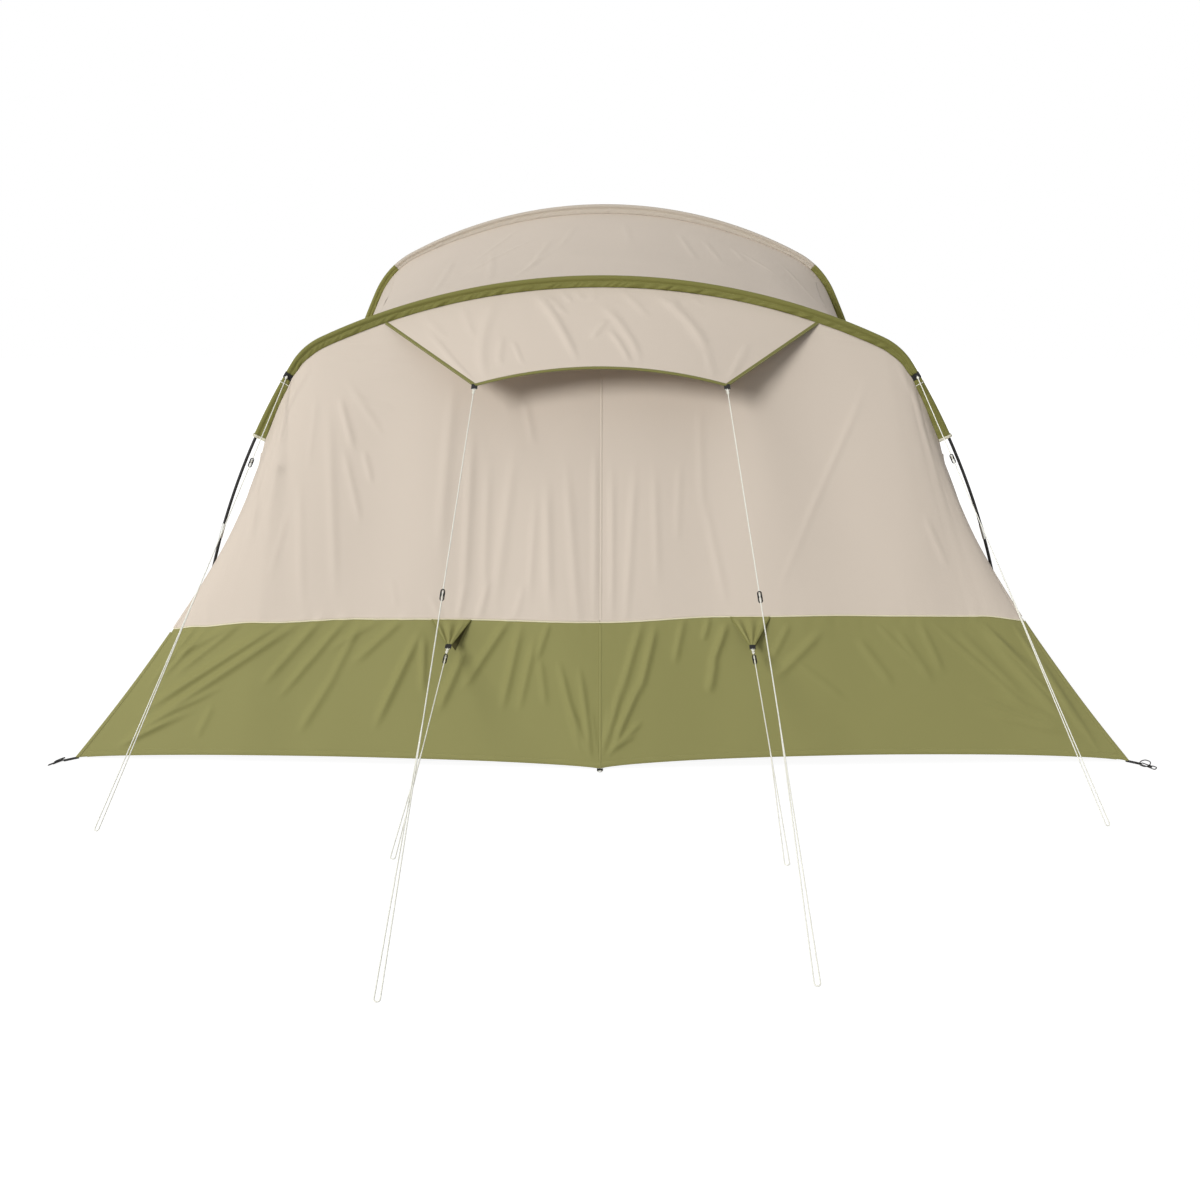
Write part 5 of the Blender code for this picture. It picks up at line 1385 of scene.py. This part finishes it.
def frame_at(place, along, across):
    """Matrix at a place with local Z along one direction and local X as near another as it can be."""
    z_axis = along.normalized()
    y_axis = z_axis.cross(across).normalized()
    rotation = Matrix((y_axis.cross(z_axis), y_axis, z_axis)).transposed().to_4x4()
    return Matrix.Translation(place) @ rotation


def strap_outline(width, thickness):
    half_width, half_thickness = width / 2, thickness / 2
    return [(-half_width, -half_thickness), (half_width, -half_thickness),
            (half_width, half_thickness), (-half_width, half_thickness)]


def folded_strap(name, place, length, node):
    """A strap that runs out, folds round a small loop and comes back, both ends sewn in."""
    half, bend = length / 2, STRAP_HALF
    line = [(bend * 0.6, -half), (bend * 0.6, 0.0), (bend, half - 3 * bend)]
    line += [(bend * math.cos(a), half - bend + bend * math.sin(a)) for a in shares(8, 0.0, math.pi)]
    line += [(-bend, half - 3 * bend), (-bend * 0.6, 0.0), (-bend * 0.6, -half)]
    path = [Vector((0, y, z)) for y, z in line]
    ups = []
    for i in range(len(path)):
        run = path[min(i + 1, len(path) - 1)] - path[max(i - 1, 0)]
        ups.append(Vector((0, run.z, -run.y)).normalized())
    mesh = swept(name, path, strap_outline(TAB_WIDTH, STRAP_THICKNESS), ups)
    mesh.transform(place)
    return dress(name, mesh, webbing_look, "black_webbing", nodes=[node])


TIE_LENGTH, TIE_HALF, TIE_RADIUS = 0.024, 0.0065, 0.0014
for name, centre in TABS.items():
    start, along, _, _, _ = guy_axes(GUYS[name])
    place = frame_at(Vector(centre), along, Vector((1, 0, 0)))
    folded_strap(f"tab_strap_{name}", place, SHOWN_LENGTH, f"{name}_tab")
    foot = start + along * TIE_LENGTH
    knot(f"tie_knot_{name}", foot, along)
    ends = [place @ Vector((x, 0, SHOWN_LENGTH / 2 - STRAP_HALF)) for x in (-TIE_HALF, TIE_HALF)]
    loop = [ends[0], ends[1], ends[1].lerp(foot, 0.5), foot, ends[0].lerp(foot, 0.5)]
    ups = [place.to_3x3() @ Vector((0, 1, 0))] * len(loop)
    mesh = swept(f"tie_loop_{name}", loop, circle(TIE_RADIUS, 8), ups, cyclic=True)
    dress(f"tie_loop_{name}", mesh, cord_look, "cream_cord")


def round_sleeve(name, along, section_out, profile, look, slot, nodes=()):
    """A band or cord round the rear sleeve at a length along the hoop."""
    section = sleeve_section(sleeve_drop(REAR, along))
    place, outward = hoop_point(REAR, along)
    tangent = hoop_point(REAR, along + 0.001)[0] - place
    points = [place + outward * out + Vector((0, across, 0)) for out, across in section]
    ups = []
    for i, (out, across) in enumerate(section):
        run = points[min(i + 1, len(points) - 1)] - points[max(i - 1, 0)]
        up = run.cross(tangent).normalized()
        away = Vector((0, across, 0)) if out < NECK_OUT else points[i] - place
        ups.append(up if up.dot(away) > 0 else -up)
    path = [point + up * section_out for point, up in zip(points, ups)]
    return dress(name, swept(name, path, profile, ups), look, slot, nodes=nodes)


WRAP_OUT, WRAP_HEIGHT, CORD_PAST_WRAP, BAND_OUT, GATHER_RADIUS = 0.0010, 0.0018, 0.030, 0.0036, 0.0013
END_TAPE, END_IN, SIDE_KNOT_DOWN = (0.011, 0.0014), 0.005, 0.008
sleeve_end_look = cloth_look("pale_sleeve_end", srgb(222, 218, 196), 0.03)
for side_name, side in SIDES.items():
    round_sleeve(f"guy_wrap_{side_name}", side * REAR_WRAP, WRAP_OUT, flat_tape(WRAP_WIDTH, WRAP_HEIGHT),
                 webbing_look, "black_webbing", [f"side_guy_wrap_{side_name}"])
    round_sleeve(f"sleeve_end_binding_{side_name}", side * (SLEEVE_END - END_IN), BAND_OUT,
                 flat_tape(*END_TAPE), sleeve_end_look, "beige_cloth")
    round_sleeve(f"sleeve_cord_{side_name}", side * (REAR_WRAP + CORD_PAST_WRAP), BAND_OUT,
                 circle(GATHER_RADIUS, 8), cord_look, "cream_cord")
    start, along, _, _, _ = guy_axes(GUYS[f"side_{side_name}"])
    knot(f"tie_knot_side_{side_name}", start + along * SIDE_KNOT_DOWN, along)


# Pegging loops: a strap of black webbing sewn into each rear corner, with a black cord that is knotted to
# it and ends in a loop for the peg. In the middle of the rear hem a folded tab holds a steel ring.
CORNER_OUT, CORNER_LAP, CORNER_STRAP, CORNER_SECTION = (0.75, -0.66), 0.004, 0.0467, (0.016, 0.0032)
# The cord's loops, as (start past the strap, length, width): two that cross, a knot's turns, the end loop
CORNER_LOOPS = [(-0.003, 0.038, 0.030), (0.001, 0.034, 0.008), (0.029, 0.015, 0.009),
                (0.031, 0.012, 0.005), (0.041, 0.022, 0.012)]
LOOP_OUT, LOOP_CORD, LOOP_LEAN = (0.45, -0.89), 0.0018, math.radians(30)
RING_RADIUS, RING_WIRE, TAB_THICKNESS, HEM_PAST = 0.007, 0.0014, 0.003, 0.002
loop_look, tree, shader = new_material("black_loop_cord", WEBBING, 0.7)
uneven(tree, shader, WEBBING, 0.2, 90.0)
bump(tree, shader, braid(tree, LOOP_CORD), BRAID_DEPTH)


def ring_path(centre, length, width, direction, count=28, lean=0.0):
    """A loop with straight sides along a direction, leaning up on one side."""
    side = Vector((-direction.y, direction.x, 0)) * math.cos(lean) + UP * math.sin(lean)
    radius = width / 2
    straight = max(0.0, length / 2 - radius)
    points = []
    for i in range(count):
        angle = math.tau * (i + 0.5) / count
        forward = direction * (math.copysign(straight, math.cos(angle)) + radius * math.cos(angle))
        points.append(centre + forward + side * radius * math.sin(angle))
    return points


for side_name, side in SIDES.items():
    corner = rear_point(side, HEM_HEIGHT)
    corner.z = LOOP_CORD + FIT_GAP
    out = Vector((side * CORNER_OUT[0], CORNER_OUT[1], 0)).normalized()
    start, end = corner + out * -CORNER_LAP, corner + out * CORNER_STRAP
    path = [start.lerp(end, s) for s in shares(10)]
    strap = swept(f"corner_strap_{side_name}", path, strap_outline(*CORNER_SECTION), [UP] * len(path))
    dress(f"corner_strap_{side_name}", strap, webbing_look, "black_webbing",
          nodes=[f"corner_peg_loop_{side_name}"])
    away = Vector((side * LOOP_OUT[0], LOOP_OUT[1], 0)).normalized()
    for i, (past, length, width) in enumerate(CORNER_LOOPS):
        raised = width / 2 * math.sin(LOOP_LEAN)
        path = ring_path(end + away * (past + length / 2) + UP * raised, length, width, away, lean=LOOP_LEAN)
        loop = swept(f"corner_loop_{side_name}_{i}", path, circle(LOOP_CORD, 8), cyclic=True)
        dress(f"corner_loop_{side_name}_{i}", loop, loop_look, "black_webbing")
hem_edge = REAR_Y - REAR_LEAN - HEM_PAST - FIT_GAP
middle = frame_at(Vector((0, hem_edge - TAB_LENGTH / 2, TAB_THICKNESS / 2 + FIT_GAP)),
                  Vector((0, -1, 0)), Vector((1, 0, 0)))
folded_strap("centre_strap", middle, TAB_LENGTH, "centre_peg_tab")
centre = Vector((0, hem_edge - TAB_LENGTH - FIT_GAP - RING_RADIUS - RING_WIRE, RING_WIRE + FIT_GAP))
path = ring_path(centre, 2 * RING_RADIUS, 2 * RING_RADIUS, Vector((0, 1, 0)), 36)
mesh = swept("hem_ring", path, circle(RING_WIRE, 10), [UP] * len(path), cyclic=True)
dress("hem_ring", mesh, steel_look, "steel", nodes=["centre_peg_ring"])


# Stitches and zip teeth: lockstitch in a thread of the cloth's colour along every tape, seam and sleeve,
# and moulded black teeth, half on the frame's tape and half on the door's, that close in turn.
STITCH = {"Pitch": 0.0055, "Length": 0.0042, "Width": 0.0007, "Height": 0.0006, "Slack": 0.12}
TOOTH = {"Pitch": 0.0030, "Length": 0.0012, "Width": 0.0034, "Height": 0.0022, "Slack": 0.0}
SEED, TEETH_APART = 7, 0.0009
SLEEVE_ROW, SLEEVE_ROW_OUT, SLEEVE_ROW_STEP = -0.0125, 0.0032, 0.02


def row_tree(name, shape, settings):
    """A node tree that sets small pieces along lines: their spacing, size and unevenness are its inputs."""
    tree = bpy.data.node_groups.new(name, "GeometryNodeTree")
    face = tree.interface
    face.new_socket("Lines", in_out="INPUT", socket_type="NodeSocketGeometry")
    for label, value in settings.items():
        face.new_socket(label, in_out="INPUT", socket_type="NodeSocketFloat").default_value = value
    face.new_socket("Material", in_out="INPUT", socket_type="NodeSocketMaterial")
    face.new_socket("Pieces", in_out="OUTPUT", socket_type="NodeSocketGeometry")

    def node(kind, inputs=(), **settings):
        return add_node(tree, kind, inputs, family="", **settings)

    given = node("NodeGroupInput").outputs
    line = node("GeometryNodeMeshToCurve", {"Mesh": given["Lines"]})
    spots = node("GeometryNodeResampleCurve", {"Curve": line.outputs[0], "Length": given["Pitch"]},
                 mode="LENGTH")
    out = node("GeometryNodeInputNamedAttribute", {"Name": "out"}, data_type="FLOAT_VECTOR")
    tangent = node("GeometryNodeInputTangent")
    turned = node("FunctionNodeAlignRotationToVector", {"Vector": tangent.outputs[0]}, axis="Y")
    faced = node("FunctionNodeAlignRotationToVector", {"Rotation": turned.outputs[0],
                                                       "Vector": out.outputs[0]}, axis="Z", pivot_axis="Y")
    low = node("ShaderNodeMath", {0: 1.0, 1: given["Slack"]}, operation="SUBTRACT")
    uneven_length = node("FunctionNodeRandomValue", {2: low.outputs[0], 3: 1.0, "Seed": SEED})
    long = node("ShaderNodeMath", {0: given["Length"], 1: uneven_length.outputs[1]}, operation="MULTIPLY")
    size = node("ShaderNodeCombineXYZ", {0: given["Width"], 1: long.outputs[0], 2: given["Height"]})
    if shape == "bead":
        piece = node("GeometryNodeMeshUVSphere", {"Segments": 5, "Rings": 3, "Radius": 0.5})
    else:
        piece = node("GeometryNodeMeshCube")
    laid = node("GeometryNodeInstanceOnPoints", {"Points": spots.outputs[0], "Instance": piece.outputs[0],
                                                 "Rotation": faced.outputs[0], "Scale": size.outputs[0]})
    real = node("GeometryNodeRealizeInstances", {0: laid.outputs[0]})
    coloured = node("GeometryNodeSetMaterial", {"Geometry": real.outputs[0], "Material": given["Material"]})
    node("NodeGroupOutput", {0: coloured.outputs[0]})
    return tree


def row_of(name, rows, shape, settings, look, slot, body="tent"):
    """All the small pieces of one kind along a list of rows, as one plain mesh."""
    points, edges, outs = [], [], []
    for row in rows:
        edges += [(len(points) + i, len(points) + i + 1) for i in range(len(row) - 1)]
        points += [place for place, _ in row]
        outs += [value for _, out in row for value in out]
    rail = bpy.data.meshes.new(name)
    rail.from_pydata(points, edges, [])
    rail.attributes.new("out", "FLOAT_VECTOR", "POINT").data.foreach_set("vector", outs)
    holder = place_object(name, rail)
    tree = row_tree(f"{name}_rows", shape, settings)
    laying = holder.modifiers.new("rows", "NODES")
    laying.node_group = tree
    chosen = {**settings, "Material": look}
    for socket in tree.interface.items_tree:
        if socket.name in chosen:
            laying[socket.identifier] = chosen[socket.name]
    mesh = flattened(holder)
    bpy.data.objects.remove(holder)
    return dress(name, mesh, look, slot, body)


def thread_look(name, colour):
    look, tree, shader = new_material(name, colour, 0.6)
    uneven(tree, shader, colour, 0.08, 120.0)
    return look


def teeth_row(line, late):
    """One half of the teeth along a line, set half a pitch later on the door's half."""
    shift = (line[1] - line[0]).normalized() * TOOTH["Pitch"] / 2 * late
    return [(place + shift, OUTWARD) for place in line]


for hoop, end in ((REAR, REAR_WRAP - WRAP_WIDTH), (MIDDLE, TALL_SLEEVE_END["middle"]),
                  (FRONT, TALL_SLEEVE_END["front"])):
    for face in (-1, 1):
        line = []
        for s in steps(-end, end, SLEEVE_ROW_STEP):
            place, outward = hoop_point(hoop, s)
            place = place + outward * SLEEVE_ROW + Vector((0, face * SLEEVE_ROW_OUT, 0))
            line.append((place, Vector((0, face, 0))))
        green_rows.append(line)
for colour, rows, thread in (("beige", beige_rows, srgb(228, 216, 200)),
                             ("green", green_rows, srgb(176, 172, 118))):
    look = thread_look(f"{colour}_thread", thread)
    row_of(f"{colour}_stitches", rows, "bead", STITCH, look, f"{colour}_cloth")
for name, apart, late, body in (("frame", TEETH_APART, 0, "tent"), ("door", -TEETH_APART, 1, "front_door")):
    lines = zip_line(-DOOR_GAP / 2 + apart), sill_line(DOOR_GAP / 2 - apart)
    rows = [teeth_row(line, late) for line in lines]
    row_of(f"zip_teeth_{name}", rows, "block", TOOTH, plastic_look, "black_plastic", body)
